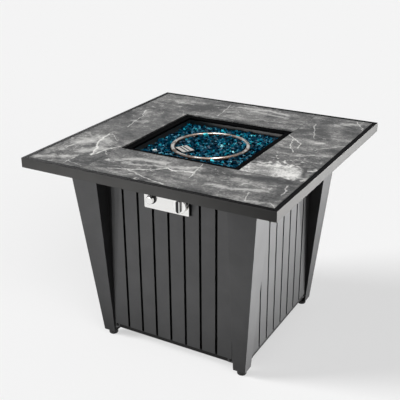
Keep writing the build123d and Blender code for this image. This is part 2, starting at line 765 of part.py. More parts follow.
def leg(first_is_fixed, second_is_fixed):
    body = tapered_shell()
    body -= below_flanges()
    top = [
        (rail_inner, rail_inner),
        (panel_back, rail_inner),
        (panel_back, leg_inner),
        (leg_top - LEG_SHEET, leg_inner),
        (leg_top - LEG_SHEET, leg_top - LEG_SHEET),
        (leg_inner, leg_top - LEG_SHEET),
        (leg_inner, panel_back),
        (rail_inner, panel_back),
    ]
    body += plate([(x, -y) for x, y in top], rim_bottom - LEG_PLATE, rim_bottom)
    edge = (leg_inner, leg_bottom - LEG_SHEET / 2)
    body += block(edge, (-edge[1], -edge[0]), (FOOT_HEIGHT, FOOT_HEIGHT + LEG_PLATE))
    through = (FOOT_HEIGHT - CUT_MARGIN, FOOT_HEIGHT + LEG_PLATE + CUT_MARGIN)
    body -= Pos(foot_centre, -foot_centre) * disc(FOOT_STEM_DIAMETER / 2 + HOLE_CLEARANCE, *through)
    screw_radius = TRAY_SCREW_DIAMETER / 2 + HOLE_CLEARANCE
    stud_radius = STUD_DIAMETER / 2 + HOLE_CLEARANCE
    body -= through_front_flange(screw_radius, tray_screw_z)
    body -= through_side_flange(screw_radius, tray_screw_z)
    for height in stud_heights():
        if first_is_fixed:
            body -= through_front_flange(stud_radius, height)
        if second_is_fixed:
            body -= through_side_flange(stud_radius, height)
    return body


def drill_top_bolts(body):
    through = (rim_bottom - LEG_PLATE - CUT_MARGIN, rim_bottom + CUT_MARGIN)
    hole = disc(BOLT_DIAMETER / 2 + HOLE_CLEARANCE, *through)
    return body - [Pos(x, y) * hole for x, y in bolt_places()]


def top_bolts():
    seat = rim_bottom - LEG_PLATE
    bolt = disc(BOLT_DIAMETER / 2, seat, seat + BOLT_LENGTH)
    bolt += hexagon(BOLT_HEAD_FLATS, seat - BOLT_HEAD_HEIGHT, seat)
    return [Pos(x, y) * bolt for x, y in bolt_places()]


def foot():
    pad = disc(FOOT_DIAMETER / 2, 0, FOOT_HEIGHT)
    pad = fillet(pad.edges().group_by(Axis.Z)[0], FOOT_EDGE_RADIUS)
    pad += disc(FOOT_STEM_DIAMETER / 2, FOOT_HEIGHT, FOOT_HEIGHT + FOOT_STEM_LENGTH)
    return Pos(foot_centre, -foot_centre) * pad


def foot_nut():
    seat = FOOT_HEIGHT + LEG_PLATE
    loose = nut(FOOT_NUT_FLATS, FOOT_STEM_DIAMETER, seat, seat + FOOT_NUT_HEIGHT)
    return Pos(foot_centre, -foot_centre) * loose


# Grooved panels, drawn for the front
def grooved_sheet(left, right, low, high):
    front = [(left, -panel_face)]
    back = [(left, -panel_back)]
    floor = -panel_face + GROOVE_DEPTH
    for number in range(1, SLAT_COUNT):
        middle = -panel_half + number * slat_pitch
        near = middle - GROOVE_WIDTH / 2
        far = middle + GROOVE_WIDTH / 2
        front += [(near, -panel_face), (near, floor), (far, floor), (far, -panel_face)]
        near -= PANEL_SHEET
        far += PANEL_SHEET
        behind = floor + PANEL_SHEET
        back += [(near, -panel_back), (near, behind), (far, behind), (far, -panel_back)]
    front.append((right, -panel_face))
    back.append((right, -panel_back))
    return plate(front + back[::-1], low, high)


def stud_places():
    return [(side * flange_middle, height) for side in (-1, 1) for height in stud_heights()]


def side_panel():
    body = grooved_sheet(-panel_half, panel_half, PANEL_BOTTOM, panel_top)
    for x, height in stud_places():
        body += Pos(x, -panel_back, height) * Rot(-90, 0, 0) * disc(STUD_DIAMETER / 2, 0, STUD_LENGTH)
    return body


def stud_nuts():
    loose = nut(STUD_NUT_FLATS, STUD_DIAMETER, 0, STUD_NUT_HEIGHT)
    return [Pos(x, -leg_flange_back, height) * Rot(-90, 0, 0) * loose for x, height in stud_places()]


cutout_width = CONTROL_SPREAD + IGNITER_DIAMETER / 2 + CUTOUT_CLEARANCE
cutout_height = VALVE_HEIGHT / 2 + CUTOUT_CLEARANCE


def plate_stud_places():
    # On the slats beside the middle groove, between the cut-out and the edges of the plate.
    level = (cutout_height + PLATE_HEIGHT / 2) / 2
    return [(side * PLATE_STUD_SPREAD, end * level) for side in (-1, 1) for end in (-1, 1)]


def front_panel():
    body = side_panel()
    depth = GROOVE_DEPTH + PANEL_SHEET + CUT_MARGIN
    width = (-cutout_width, cutout_width)
    body -= on_front(0, block(width, (-cutout_height, cutout_height), (-depth, CUT_MARGIN)))
    hole = disc(STUD_DIAMETER / 2 + HOLE_CLEARANCE, -PANEL_SHEET - CUT_MARGIN, CUT_MARGIN)
    for x, y in plate_stud_places():
        body -= on_front(0, Pos(x, y) * hole)
    return body


# Rear door, drawn where it hangs
def hinge_heights():
    half = HINGE_LEAF_HEIGHT / 2
    return (door_bottom + HINGE_MARGIN + half, door_top - HINGE_MARGIN - half)


def knuckle(low, high):
    return Pos(hinge_x, hinge_y) * disc(KNUCKLE_DIAMETER / 2, low, high)


def pin_bore(low, high):
    bore = disc(HINGE_PIN_DIAMETER / 2 + HINGE_PIN_FIT, low - CUT_MARGIN, high + CUT_MARGIN)
    return Pos(hinge_x, hinge_y) * bore


def door_knuckle_spans():
    spans = []
    for middle in hinge_heights():
        inner = HINGE_LEAF_HEIGHT / 2 + HINGE_GAP
        spans.append((middle - inner - DOOR_KNUCKLE_HEIGHT, middle - inner))
        spans.append((middle + inner, middle + inner + DOOR_KNUCKLE_HEIGHT))
    return spans


def door_panel():
    body = quarter_turn(grooved_sheet(-door_edge, panel_half, door_bottom, door_top), 2)
    root = (hinge_y - KNUCKLE_DIAMETER / 2, panel_face)
    for low, high in door_knuckle_spans():
        body += block((door_edge - KNUCKLE_DIAMETER, hinge_x), root, (low, high))
        body += knuckle(low, high)
        body -= pin_bore(low, high)
    return body


def hinge_leaves():
    thickness = (leg_inner - HINGE_LEAF_THICKNESS, leg_inner)
    width = (hinge_y, hinge_y + HINGE_LEAF_WIDTH)
    leaves = []
    for middle in hinge_heights():
        span = (middle - HINGE_LEAF_HEIGHT / 2, middle + HINGE_LEAF_HEIGHT / 2)
        leaves.append(block(thickness, width, span) + knuckle(*span) - pin_bore(*span))
    return leaves


def hinge_pins():
    reach = HINGE_LEAF_HEIGHT / 2 + HINGE_GAP + DOOR_KNUCKLE_HEIGHT
    pin = disc(HINGE_PIN_DIAMETER / 2, -reach, reach + HINGE_GAP)
    pin += disc(HINGE_PIN_HEAD / 2, reach + HINGE_GAP, reach + HINGE_GAP + HINGE_PIN_HEAD_HEIGHT)
    return [Pos(hinge_x, hinge_y, middle) * pin for middle in hinge_heights()]


def door_pull():
    head_low = PULL_NECK_LENGTH
    head = disc(PULL_HEAD_DIAMETER / 2, head_low, head_low + PULL_HEAD_LENGTH)
    head = fillet(head.edges(), PULL_EDGE_RADIUS)
    pull = head + disc(PULL_NECK_DIAMETER / 2, 0, head_low + PULL_EDGE_RADIUS)
    place = Plane(
        origin=(-panel_half + slat_pitch / 2, panel_face, door_top - PULL_DROP),
        x_dir=(-1, 0, 0),
        z_dir=(0, 1, 0),
    )
    return place * pull


catch_x = -(flange_end + panel_half - slat_pitch + GROOVE_WIDTH / 2 + PANEL_SHEET) / 2
catch_front = panel_back - CATCH_GAP


def magnet_block(grow):
    half = MAGNET_WIDTH / 2 + grow
    middle = tray_top + CATCH_HEIGHT / 2
    tall = MAGNET_HEIGHT / 2 + grow
    return block(
        (catch_x - half, catch_x + half),
        (catch_front - MAGNET_DEPTH - grow, catch_front),
        (middle - tall, middle + tall),
    )


def catch_housing():
    half = CATCH_WIDTH / 2
    body = block(
        (catch_x - half, catch_x + half),
        (catch_front - CATCH_DEPTH, catch_front),
        (tray_top, tray_top + CATCH_HEIGHT),
    )
    return body - magnet_block(MAGNET_FIT)


# Base tray
def base_tray():
    level = (tray_top - TRAY_FLANGE, tray_top)
    body = block((-tray_half, tray_half), (-tray_half, tray_half), level)
    inside = tray_half - TRAY_SHEET
    body -= block((-inside, inside), (-inside, inside), (level[0] - CUT_MARGIN, tray_top - TRAY_SHEET))
    vent = tray_half - VENT_INSET
    for corner in range(4):
        hole = disc(VENT_DIAMETER / 2, tray_top - TRAY_SHEET - CUT_MARGIN, tray_top + CUT_MARGIN)
        body -= quarter_turn(Pos(vent, vent) * hole, corner)
        for side in (-1, 1):
            bore = disc(TRAY_SCREW_DIAMETER / 2 + THREAD_FIT, 0, TRAY_SHEET + 2 * CUT_MARGIN)
            place = Pos(side * flange_middle, -tray_half - CUT_MARGIN, tray_screw_z)
            body -= quarter_turn(place * Rot(-90, 0, 0) * bore, corner)
    return body


def tray_screws():
    screw = disc(TRAY_SCREW_DIAMETER / 2, -TRAY_SCREW_LENGTH, 0)
    screw += disc(TRAY_SCREW_HEAD / 2, 0, TRAY_SCREW_HEAD_HEIGHT)
    screws = []
    for corner in range(4):
        for side in (-1, 1):
            place = Pos(side * flange_middle, -panel_back, tray_screw_z)
            screws.append(quarter_turn(place * Rot(90, 0, 0) * screw, corner))
    return screws


def tank_collar():
    bore = COLLAR_BORE / 2
    ring = disc(bore + COLLAR_WALL, tray_top, tray_top + COLLAR_HEIGHT)
    ring -= disc(bore, tray_top - CUT_MARGIN, tray_top + COLLAR_HEIGHT + CUT_MARGIN)
    return Pos(0, COLLAR_SHIFT) * ring


# Control plate
def control_plate():
    outline = RectangleRounded(PLATE_WIDTH, PLATE_HEIGHT, PLATE_CORNER_RADIUS)
    body = extrude(outline, plate_front)
    inner_radius = PLATE_CORNER_RADIUS - PLATE_SHEET
    inner = RectangleRounded(PLATE_WIDTH - 2 * PLATE_SHEET, PLATE_HEIGHT - 2 * PLATE_SHEET, inner_radius)
    body -= extrude(inner, plate_back)
    through = (plate_back - CUT_MARGIN, plate_front + CUT_MARGIN)
    body -= Pos(knob_x, 0) * disc(STEM_HOLE / 2, *through)
    body -= Pos(igniter_x, 0) * disc(IGNITER_DIAMETER / 2 + THREAD_FIT, *through)
    for side in (-1, 1):
        hole = disc(VALVE_SCREW_DIAMETER / 2 + HOLE_CLEARANCE, *through)
        body -= Pos(knob_x + side * VALVE_SCREW_SPREAD, 0) * hole
    for x, y in plate_stud_places():
        body += Pos(x, y) * disc(STUD_DIAMETER / 2, -PANEL_SHEET - STUD_NUT_HEIGHT, plate_back)
    return on_front(0, body)


def plate_nuts():
    loose = nut(STUD_NUT_FLATS, STUD_DIAMETER, -PANEL_SHEET - STUD_NUT_HEIGHT, -PANEL_SHEET)
    return [on_front(0, Pos(x, y) * loose) for x, y in plate_stud_places()]


# Gas valve
def control_valve():
    flange_back = plate_back - VALVE_FLANGE_THICKNESS
    flange = Box(VALVE_FLANGE_WIDTH, VALVE_FLANGE_HEIGHT, VALVE_FLANGE_THICKNESS)
    body = Pos(0, 0, (flange_back + plate_back) / 2) * flange
    body += disc(VALVE_NECK_DIAMETER / 2, valve_body_front, flange_back)
    body += Pos(0, 0, valve_body_middle) * Box(VALVE_WIDTH, VALVE_HEIGHT, VALVE_LENGTH)
    body += disc(OUTLET_DIAMETER / 2, outlet_end, valve_body_back)
    body -= disc(PIPE_DIAMETER / 2 + THREAD_FIT, outlet_end - CUT_MARGIN, outlet_end + PIPE_SOCKET)
    body -= disc(SLEEVE_DIAMETER / 2 + RUNNING_FIT, stem_end - PUSH_ROOM, plate_back + CUT_MARGIN)
    through = (flange_back - CUT_MARGIN, plate_back + CUT_MARGIN)
    for side in (-1, 1):
        body -= Pos(side * VALVE_SCREW_SPREAD, 0) * disc(VALVE_SCREW_DIAMETER / 2 + THREAD_FIT, *through)
    top = -VALVE_HEIGHT / 2
    body += inlet_part(INLET_DIAMETER / 2, top - INLET_LENGTH, top)
    body -= inlet_part(INLET_SHANK_DIAMETER / 2 + THREAD_FIT, top - INLET_LENGTH - CUT_MARGIN, top)
    return on_front(knob_x, body)


def inlet_part(radius, low, high):
    # Cylinder on the valve's vertical inlet axis, in the frame of the front panel.
    return Pos(0, 0, valve_body_middle) * Rot(-90, 0, 0) * disc(radius, low, high)


def gas_inlet():
    top = -VALVE_HEIGHT / 2
    seat = top - INLET_LENGTH
    hex_end = seat - INLET_HEX_LENGTH
    end = hex_end - INLET_NIPPLE_LENGTH
    body = inlet_part(INLET_SHANK_DIAMETER / 2, seat, top)
    body += Pos(0, 0, valve_body_middle) * Rot(-90, 0, 0) * hexagon(INLET_HEX_FLATS, hex_end, seat)
    body += inlet_part(INLET_NIPPLE_DIAMETER / 2, end, hex_end)
    body -= inlet_part(INLET_BORE / 2, end - CUT_MARGIN, top + CUT_MARGIN)
    return on_front(knob_x, body)


def valve_screws():
    flange_back = plate_back - VALVE_FLANGE_THICKNESS
    screw = disc(VALVE_SCREW_DIAMETER / 2, flange_back, plate_front)
    screw += disc(VALVE_SCREW_HEAD / 2, plate_front, plate_front + VALVE_SCREW_HEAD_HEIGHT)
    return [on_front(knob_x + side * VALVE_SCREW_SPREAD, screw) for side in (-1, 1)]


def push_sleeve():
    span = (sleeve_front - SLEEVE_LENGTH, sleeve_front)
    body = disc(SLEEVE_DIAMETER / 2, *span)
    body -= disc(STEM_DIAMETER / 2 + RUNNING_FIT, span[0] - CUT_MARGIN, span[1] + CUT_MARGIN)
    return on_front(knob_x, body)


def stem_shape(grow, low, high):
    # Round shaft with a flat on top along the part that carries the knob.
    radius = STEM_DIAMETER / 2 + grow
    shaft = disc(radius, low, high)
    flat_level = STEM_DIAMETER / 2 - STEM_FLAT + grow
    flat = block((-radius, radius), (flat_level, radius + CUT_MARGIN), (knob_back, high + CUT_MARGIN))
    return shaft - flat


def valve_stem():
    return on_front(knob_x, stem_shape(0, stem_end, knob_back + STEM_IN_KNOB))


def control_knob():
    skirt = disc(KNOB_DIAMETER / 2, knob_back, knob_back + KNOB_SKIRT)
    skirt = fillet(skirt.edges().group_by(Axis.Z)[-1], KNOB_EDGE_RADIUS)
    grip = extrude(SlotOverall(GRIP_LENGTH, GRIP_WIDTH, rotation=90), KNOB_DEPTH)
    grip = Pos(0, 0, knob_back) * fillet(grip.edges().group_by(Axis.Z)[-1], GRIP_EDGE_RADIUS)
    bore = stem_shape(THREAD_FIT, knob_back - CUT_MARGIN, knob_back + STEM_IN_KNOB + THREAD_FIT)
    return on_front(knob_x, skirt + grip - bore)


# Battery igniter
def igniter_housing():
    body = disc(IGNITER_DIAMETER / 2, igniter_back, plate_front)
    body += disc(IGNITER_BEZEL_DIAMETER / 2, plate_front, bezel_front)
    body -= disc(BUTTON_DIAMETER / 2 + RUNNING_FIT, button_bore_end, bezel_front + CUT_MARGIN)
    radius = BATTERY_DIAMETER / 2 + BATTERY_CLEARANCE
    body -= disc(radius, button_bore_end - BATTERY_LENGTH, button_bore_end + CUT_MARGIN)
    return on_front(igniter_x, body)


def igniter_nut():
    loose = nut(IGNITER_NUT_FLATS, IGNITER_DIAMETER, plate_back - IGNITER_NUT_HEIGHT, plate_back)
    return on_front(igniter_x, loose)


def igniter_button():
    front = bezel_front + BUTTON_PROUD
    cap = disc(BUTTON_CAP_DIAMETER / 2, bezel_front + BUTTON_CAP_GAP, front)
    cap = fillet(cap.edges().group_by(Axis.Z)[-1], BUTTON_EDGE_RADIUS)
    shank = disc(BUTTON_DIAMETER / 2, bezel_front - BUTTON_SEAT, front - BUTTON_EDGE_RADIUS)
    return on_front(igniter_x, cap + shank)


def igniter_battery():
    cell = disc(BATTERY_DIAMETER / 2, button_bore_end - BATTERY_LENGTH, button_bore_end)
    return on_front(igniter_x, cell)


def igniter_terminals():
    tab = Box(TERMINAL_THICKNESS, TERMINAL_WIDTH, TERMINAL_LENGTH)
    depth = igniter_back - TERMINAL_LENGTH / 2
    return [on_front(igniter_x, Pos(side * TERMINAL_SPREAD, 0, depth) * tab) for side in (-1, 1)]


# Every piece goes to its own file
os.makedirs("parts", exist_ok=True)

for turns, side in enumerate(SIDES):
    save(f"rim_{side}", quarter_turn(rim_rail(), turns))
    save(f"tile_{side}", quarter_turn(tile(), turns))

save("deck_rail_front", long_rail())
save("deck_rail_rear", quarter_turn(long_rail(), 2))
save("deck_rail_right", cross_rail())
save("deck_rail_left", quarter_turn(cross_rail(), 2))
save("tile_ledge_bars", *ledge_bars())
save("bowl_frame", bowl_frame())
save("burner_pan", burner_pan())
save("burner_ring", burner_ring())
save("riser_nuts", *riser_nuts())
save("ring_posts", *ring_posts())
save("burner_elbow", burner_elbow())
save("air_mixer", air_mixer())
save("gas_orifice", gas_orifice())
save("gas_feed_pipe", feed_pipe())
save("igniter_shield", igniter_shield())
save("electrode_insulator", electrode_insulator())
save("electrode_rod", electrode_rod())
save("flame_probe", flame_probe())
save("fire_glass", fire_glass())

for turns, corner in enumerate(CORNERS):
    first_is_fixed = turns != DOOR_SIDE
    second_is_fixed = (turns + 1) % len(SIDES) != DOOR_SIDE
    save(f"leg_{corner}", drill_top_bolts(quarter_turn(leg(first_is_fixed, second_is_fixed), turns)))

save("feet", *[quarter_turn(foot(), turns) for turns in range(4)])
save("foot_nuts", *[quarter_turn(foot_nut(), turns) for turns in range(4)])
save("top_bolts", *top_bolts())

save("panel_front", front_panel())
fixed_sides = [turns for turns in range(len(SIDES)) if turns != DOOR_SIDE]
for turns in fixed_sides[1:]:
    save(f"panel_{SIDES[turns]}", quarter_turn(side_panel(), turns))
save("panel_nuts", *[quarter_turn(piece, turns) for turns in fixed_sides for piece in stud_nuts()])

save("door_panel", door_panel())
save("hinge_leaves", *hinge_leaves())
save("hinge_pins", *hinge_pins())
save("door_pull", door_pull())
save("catch_housing", catch_housing())
save("catch_magnet", magnet_block(0))

save("base_tray", base_tray())
save("tray_screws", *tray_screws())
save("tank_collar", tank_collar())

save("control_plate", control_plate())
save("plate_nuts", *plate_nuts())
save("control_valve", control_valve())
save("gas_inlet", gas_inlet())
save("valve_screws", *valve_screws())
save("push_sleeve", push_sleeve())
save("valve_stem", valve_stem())
save("control_knob", control_knob())
save("igniter_housing", igniter_housing())
save("igniter_nut", igniter_nut())
save("igniter_button", igniter_button())
save("igniter_battery", igniter_battery())
save("igniter_terminals", *igniter_terminals())
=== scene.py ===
import json
import math
import random

import bmesh
import bpy
from mathutils import Matrix, Vector, noise


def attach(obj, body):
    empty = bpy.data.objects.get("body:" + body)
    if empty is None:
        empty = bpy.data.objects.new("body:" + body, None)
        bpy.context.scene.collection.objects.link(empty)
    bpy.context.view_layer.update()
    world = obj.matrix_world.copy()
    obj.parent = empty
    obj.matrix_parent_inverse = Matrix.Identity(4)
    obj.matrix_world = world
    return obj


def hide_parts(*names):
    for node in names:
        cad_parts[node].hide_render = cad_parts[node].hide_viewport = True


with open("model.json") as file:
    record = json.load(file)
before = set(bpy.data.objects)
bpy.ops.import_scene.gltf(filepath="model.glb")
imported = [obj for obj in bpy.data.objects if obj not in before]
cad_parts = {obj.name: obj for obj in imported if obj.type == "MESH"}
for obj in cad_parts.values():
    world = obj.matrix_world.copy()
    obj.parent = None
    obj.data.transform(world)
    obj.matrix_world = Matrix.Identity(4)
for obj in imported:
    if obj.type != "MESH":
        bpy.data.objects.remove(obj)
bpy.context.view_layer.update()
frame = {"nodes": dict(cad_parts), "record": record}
nodes = frame["nodes"]
scene = bpy.context.scene
scene.view_settings.view_transform = "Standard"

# The camera stands where the photograph was taken, in degrees and metres
CAMERA_AZIMUTH = 29.462
CAMERA_ELEVATION = 23.302
CAMERA_ROLL = -0.457
CAMERA_DISTANCE = 2.2158
CAMERA_TARGET = (0.0, -0.063637, 0.433103)
LENS_MM = 68.0985
SENSOR_MM = 36.0

# Backdrop and floor
BACKDROP = (0.905, 0.905, 0.905)
CEILING = (0.20, 0.20, 0.205)
AMBIENT = (0.06, 0.06, 0.061)
# The backdrop turns into the ceiling between these heights of a way of length 1
CEILING_RISE = (0.25, 0.75)
FLOOR_HALF = 14.0
FLOOR_PALE = (0.88, 0.88, 0.88)
FLOOR_BOUNCE = (0.10, 0.10, 0.10)
FLOOR_GLOW = 0.60

# Rows of spot lamps, in metres, with bearings in degrees
SIDE_SPOTS = {
    "aim": (0.24, -0.70, 0.53), "bearings": (50.0, 60.0, 70.0), "far": 12.0, "height": 0.30,
    "strength": 7.6, "reach": 0.82, "size": 0.28,
}
FRONT_SPOTS = {
    "aim": (-0.02, -0.24, 0.38), "bearings": (248.0, 236.0, 224.0), "far": 4.0, "height": 0.80,
    "strength": 1.14, "reach": 0.56, "size": 0.12,
}

# Far lamps: bearing and height in degrees, power, spread in degrees
FAR_LAMPS = {
    "overhead_softbox": (60.0, 86.0, 3.1, 40.0),
    "back_fill": (140.0, 12.0, 3.0, 30.0),
    "floor_lamp": (206.0, 20.0, 5.87, 24.0),
    "floor_side": (322.0, 35.0, 1.52, 50.0),
    "floor_fill": (60.0, 85.0, 0.16, 50.0),
}
FLOOR_LAMPS = ("floor_lamp", "floor_side", "floor_fill")

# Paint, stone, plastic and rubber colours, linear
COAT_GREY = (0.076, 0.076, 0.077)
COAT_GREY_LIGHT = (0.094, 0.094, 0.095)
RIM_GREY = (0.068, 0.067, 0.0655)
RIM_GREY_LIGHT = (0.085, 0.084, 0.082)
# Near black: the bowl frame's own colour, and painted shade on the rims' top faces
TOP_BLACK = (0.002, 0.002, 0.0023)
TOP_BLACK_LIGHT = (0.005, 0.005, 0.0054)
TRAY_BLACK = (0.012, 0.012, 0.012)
TRAY_BLACK_LIGHT = (0.020, 0.020, 0.020)
# Painted shade, near black: in the panels' grooves, on their rounded edges and on the control plate's sides
PAINTED_SHADE_BLACK = (0.006, 0.006, 0.006)
PAINTED_SHADE_BLACK_LIGHT = (0.010, 0.010, 0.010)
PAN_GREY = (0.110, 0.106, 0.102)
PAN_GREY_LIGHT = (0.135, 0.129, 0.123)
MARBLE_DARK = (0.026, 0.027, 0.028)
MARBLE_GREY = (0.110, 0.110, 0.109)
MARBLE_LIGHT = (0.340, 0.336, 0.325)
MARBLE_WHITE = (0.780, 0.772, 0.748)
CERAMIC_DARK = (0.74, 0.73, 0.69)
CERAMIC = (0.820, 0.810, 0.770)
PLASTIC_BLACK = (0.018, 0.018, 0.019)
PLASTIC_BLACK_LIGHT = (0.026, 0.026, 0.027)
RUBBER_BLACK = (0.014, 0.014, 0.014)
RUBBER_BLACK_LIGHT = (0.024, 0.024, 0.023)
MAGNET_GREY = (0.07, 0.07, 0.072)
MAGNET_GREY_LIGHT = (0.11, 0.11, 0.112)
BATTERY_GREY = (0.03, 0.03, 0.035)
BATTERY_GREY_LIGHT = (0.05, 0.05, 0.056)

# Metal colours, linear
STEEL_DARK = (0.52, 0.50, 0.47)
STEEL = (0.660, 0.645, 0.620)
# Heat tint in random smudges, and painted shade on the ring's far and near stretches
HEAT_AND_SHADE_BROWN = (0.170, 0.110, 0.080)
RING_LOWER_DARK = (0.110, 0.052, 0.028)
ZINC_DARK = (0.44, 0.44, 0.45)
ZINC = (0.560, 0.560, 0.570)
CHROME_DARK = (0.86, 0.855, 0.84)
CHROME = (0.900, 0.895, 0.880)
CAST_GREY_DARK = (0.40, 0.40, 0.41)
CAST_GREY = (0.480, 0.480, 0.490)
BRASS_DARK = (0.58, 0.40, 0.15)
BRASS = (0.700, 0.500, 0.200)

# Colour of a glass chip by its tint, linear: from the near black of the gaps, painted shade, up to the one
# white bead; the palest tints are painted glints
GLASS_STOPS = [
    (0.0, (0.001, 0.004, 0.008)), (0.25, (0.000, 0.012, 0.036)), (0.55, (0.000, 0.066, 0.135)),
    (0.80, (0.000, 0.180, 0.300)), (0.92, (0.005, 0.400, 0.520)), (0.965, (0.050, 0.700, 0.800)),
    (1.0, (0.860, 0.930, 0.950)),
]
GLASS_DEEP = (0.001, 0.030, 0.060)
GLASS_DEEP_MOST = 0.55
GLASS_GLINT = (0.12, 0.72, 0.95)
# Tints over which a chip turns from streaked to clear, so the pale chips that paint in glints stay bright
CLEAR_TINTS = (0.90, 0.97)

# How far the shared noises swing, and what the finishes make of it
SHADE_RANGE = (0.32, 0.68)
GLOSS_RANGE = (0.3, 0.7)
STREAK_RANGE = (0.35, 0.65)
COAT_GLOSS_SWING = (-0.05, 0.07)
MOULD_GLOSS_SWING = (-0.05, 0.08)
METAL_GLOSS_SHARE = (0.8, 1.35)
COAT_BUMP = (0.22, 0.0002)
STONE_BUMP = (0.06, 0.0002)
GLASS_BUMP = (0.12, 0.0005)
FINE_DEPTH = 0.0001
FINE_BUMP = (0.05, FINE_DEPTH)

# Brush marks and grain of the metals, in strokes per metre along x, y and z
UPRIGHT_BRUSH = (900, 900, 30)
PLATED_GRAIN = (300, 300, 300)
LEVEL_BRUSH = (16, 900, 700)
CAST_GRAIN = (240, 240, 240)
TURNED_BRUSH = (40, 900, 900)
RING_BRUSH = (60, 60, 900)

# Noises whose scale the material gives: detail, roughness
GRAIN_NOISE = (3.0, 0.6)
CLOUD_NOISE = (4.0, 0.55)
SMUDGE_NOISE = (4.0, 0.5)

# Noises with a scale of their own: scale, detail, roughness
BRUSH_NOISE = (1.0, 3.0, 0.5)
BEND_NOISE = (6.0, 3.0, 0.5)
STREAK_NOISE = (1.0, 7.0, 0.68)
BROAD_NOISE = (7.0, 6.0, 0.64)
MOTTLE_NOISE = (48.0, 5.0, 0.70)
CRACK_NOISE = (10.0, 3.0, 0.55)
GRIT_NOISE = (210.0, 3.0, 0.7)
RAGGED_NOISE = (75.0, 3.0, 0.5)
WANDER_NOISE = (34.0, 3.0, 0.5)
GLASS_NOISE = (260.0, 2.0, 0.5)

# Stone print: shares of its three noises, the push that bends it, and its hair cracks
BROAD_SHARE = 0.36
STREAK_SHARE = 0.40
MOTTLE_SHARE = 0.24
STONE_BEND = 0.10
CRACK_EDGES = (0.007, 0.001)
CRACK_PATCHES = (0.46, 0.64)
CRACK_STRENGTH = 0.55

# Tones at which the stone turns from dark to grey, from grey to light, and takes up its clouds
TONE_TO_GREY = (0.41, 0.50)
TONE_TO_LIGHT = (0.49, 0.61)
TONE_TO_CLOUD = (0.36, 0.53)
CLOUD_LEAST = 0.22
GRIT_RANGE = (0.25, 0.75)
GRIT_SWING = 0.045
# Veins and clouds wander off their lines by up to half of this, in metres
WANDER = 0.022
# Ragged noise scales the distance from a vein by these, so that the vein widens and thins
RAGGED_RANGE = (0.3, 0.7)
RAGGED_SCALE = (0.45, 2.2)

# Ring burner, in metres
RING_RADIUS = 0.1105
RING_TUBE = 0.006
RING_HEIGHT = 0.5795
# The tube is clear above the first of these heights over its middle, and dark below the second
LOWER_DARK_EDGES = (0.0040, 0.0016)
LOWER_DARK_UNEVEN = 0.0016
# Level way across the ring along the camera's line of sight: the ring's far and near stretches along it are
# painted browner, as painted shade
SIGHT_LINE_WAY = (-0.492, 0.871, 0.0)
SIGHT_SHADE_RANGE = (0.545, 0.610)
SIGHT_SHADE_MOST = 0.85
SMUDGE_RANGE = (0.50, 0.74)
SMUDGE_MOST = 0.5

# Igniter shield, in metres out from the ring's middle
SHIELD_BEARING = math.radians(237.0)
SHIELD_NEAR = 0.060
SHIELD_FAR = 0.1025
SHIELD_HALF = 0.0265

# Bed of broken glass, in metres
GLASS_NAME = "fire_glass_chips"
GLASS_HALF = 0.1665
GLASS_LEVEL = 0.5770
GLASS_FLOOR = 0.5685
SWELL_HEIGHT = 0.0022
SWELL_SCALE = 22.0
SWELL_SLICE = 3.7
# The bed drops towards the pan's walls, over this share of its half width
WALL_BAND = 0.2
WALL_DROP = 0.004
BED_STEPS = 40
BED_RIPPLE = 0.0015
BED_RIPPLE_SCALE = 90
BED_RIPPLE_SLICE = 0.5
# The bed beneath the chips is near black: painted shade in the gaps between them
GAP_SHADE_TINT = 0.05

# Glass chips, in metres
CHIP_SEED = 41
CHIP_PITCH = 0.0102
CHIP_SIZES = (0.0050, 0.0088)
CHIP_BOB = 0.0012
CHIP_TILT = 0.5
# Layers of chips: lift over the bed's height, share left out
CHIP_LAYERS = ((-0.0030, 0.0), (0.0005, 0.0), (0.0040, 0.45))
CHIP_SHAPES = 28
CHIP_CORNERS = (7, 10)
CHIP_REACH = (0.85, 1.1)
CHIP_STRETCHES = ((0.8, 1.2), (0.65, 1.0), (0.45, 0.8))
# How much of a chip's size stays clear of the ring, the shield's end and the shield's sides
RING_CLEAR = 0.48
SHIELD_END_CLEAR = 0.3
SHIELD_SIDE_CLEAR = 0.5
SHIELD_FOOT_DROP = 0.001
# Few chips are pale, as painted glints, and the rest spread round a middle tint
GLINT_SHARE = 0.03
GLINT_TINTS = (0.90, 0.98)
TINT_GATHER = 1.5
TINT_MOST = 0.93

# Two odd lumps on top of the glass, a white bead and a bright cyan chip, partly real and partly painted
# glints: place in metres, size, tint
ODD_CHIPS = [(-0.107, -0.133, 0.0078, 1.0), (-0.050, 0.062, 0.0088, 0.965)]
ODD_LIFT = 0.0130
LUMP_CORNERS = 30
LUMP_STRETCH = (1.0, 1.0, 0.9)

# Pressed grooves of the side panels, in metres
PANEL_FACE = 0.2405
GROOVE_PITCH = 0.0496
GROOVE_HALF = 0.0037
GROOVE_DEPTH = 0.0072
GROOVE_SKIN = 0.0004
# Axis and side that each panel's outer face looks to
PANEL_FACES = {"panel_front": (1, -1), "panel_right": (0, 1), "panel_left": (0, -1), "door_panel": (1, 1)}

# The knob's black grip and the bright line on its front, a painted highlight, in metres
GRIP_BACK = -0.2607
GRIP_EDGE = 0.0004
HIGHLIGHT_LINE_FRONT = -0.2652
HIGHLIGHT_LINE_X = 0.0505
HIGHLIGHT_LINE_HALF = 0.0015
HIGHLIGHT_LINE_EDGE = 0.0003

# Edge rounding of the folded and cut pieces, in metres
FOLD_ROUND = 0.0011
PANEL_ROUND = 0.0004
TILE_ROUND = 0.0005
FINE_ROUND = 0.0004
SEAM_GAP = 0.00002
SHARP_ANGLE = math.radians(40.0)
EVEN_WEIGHT = 80

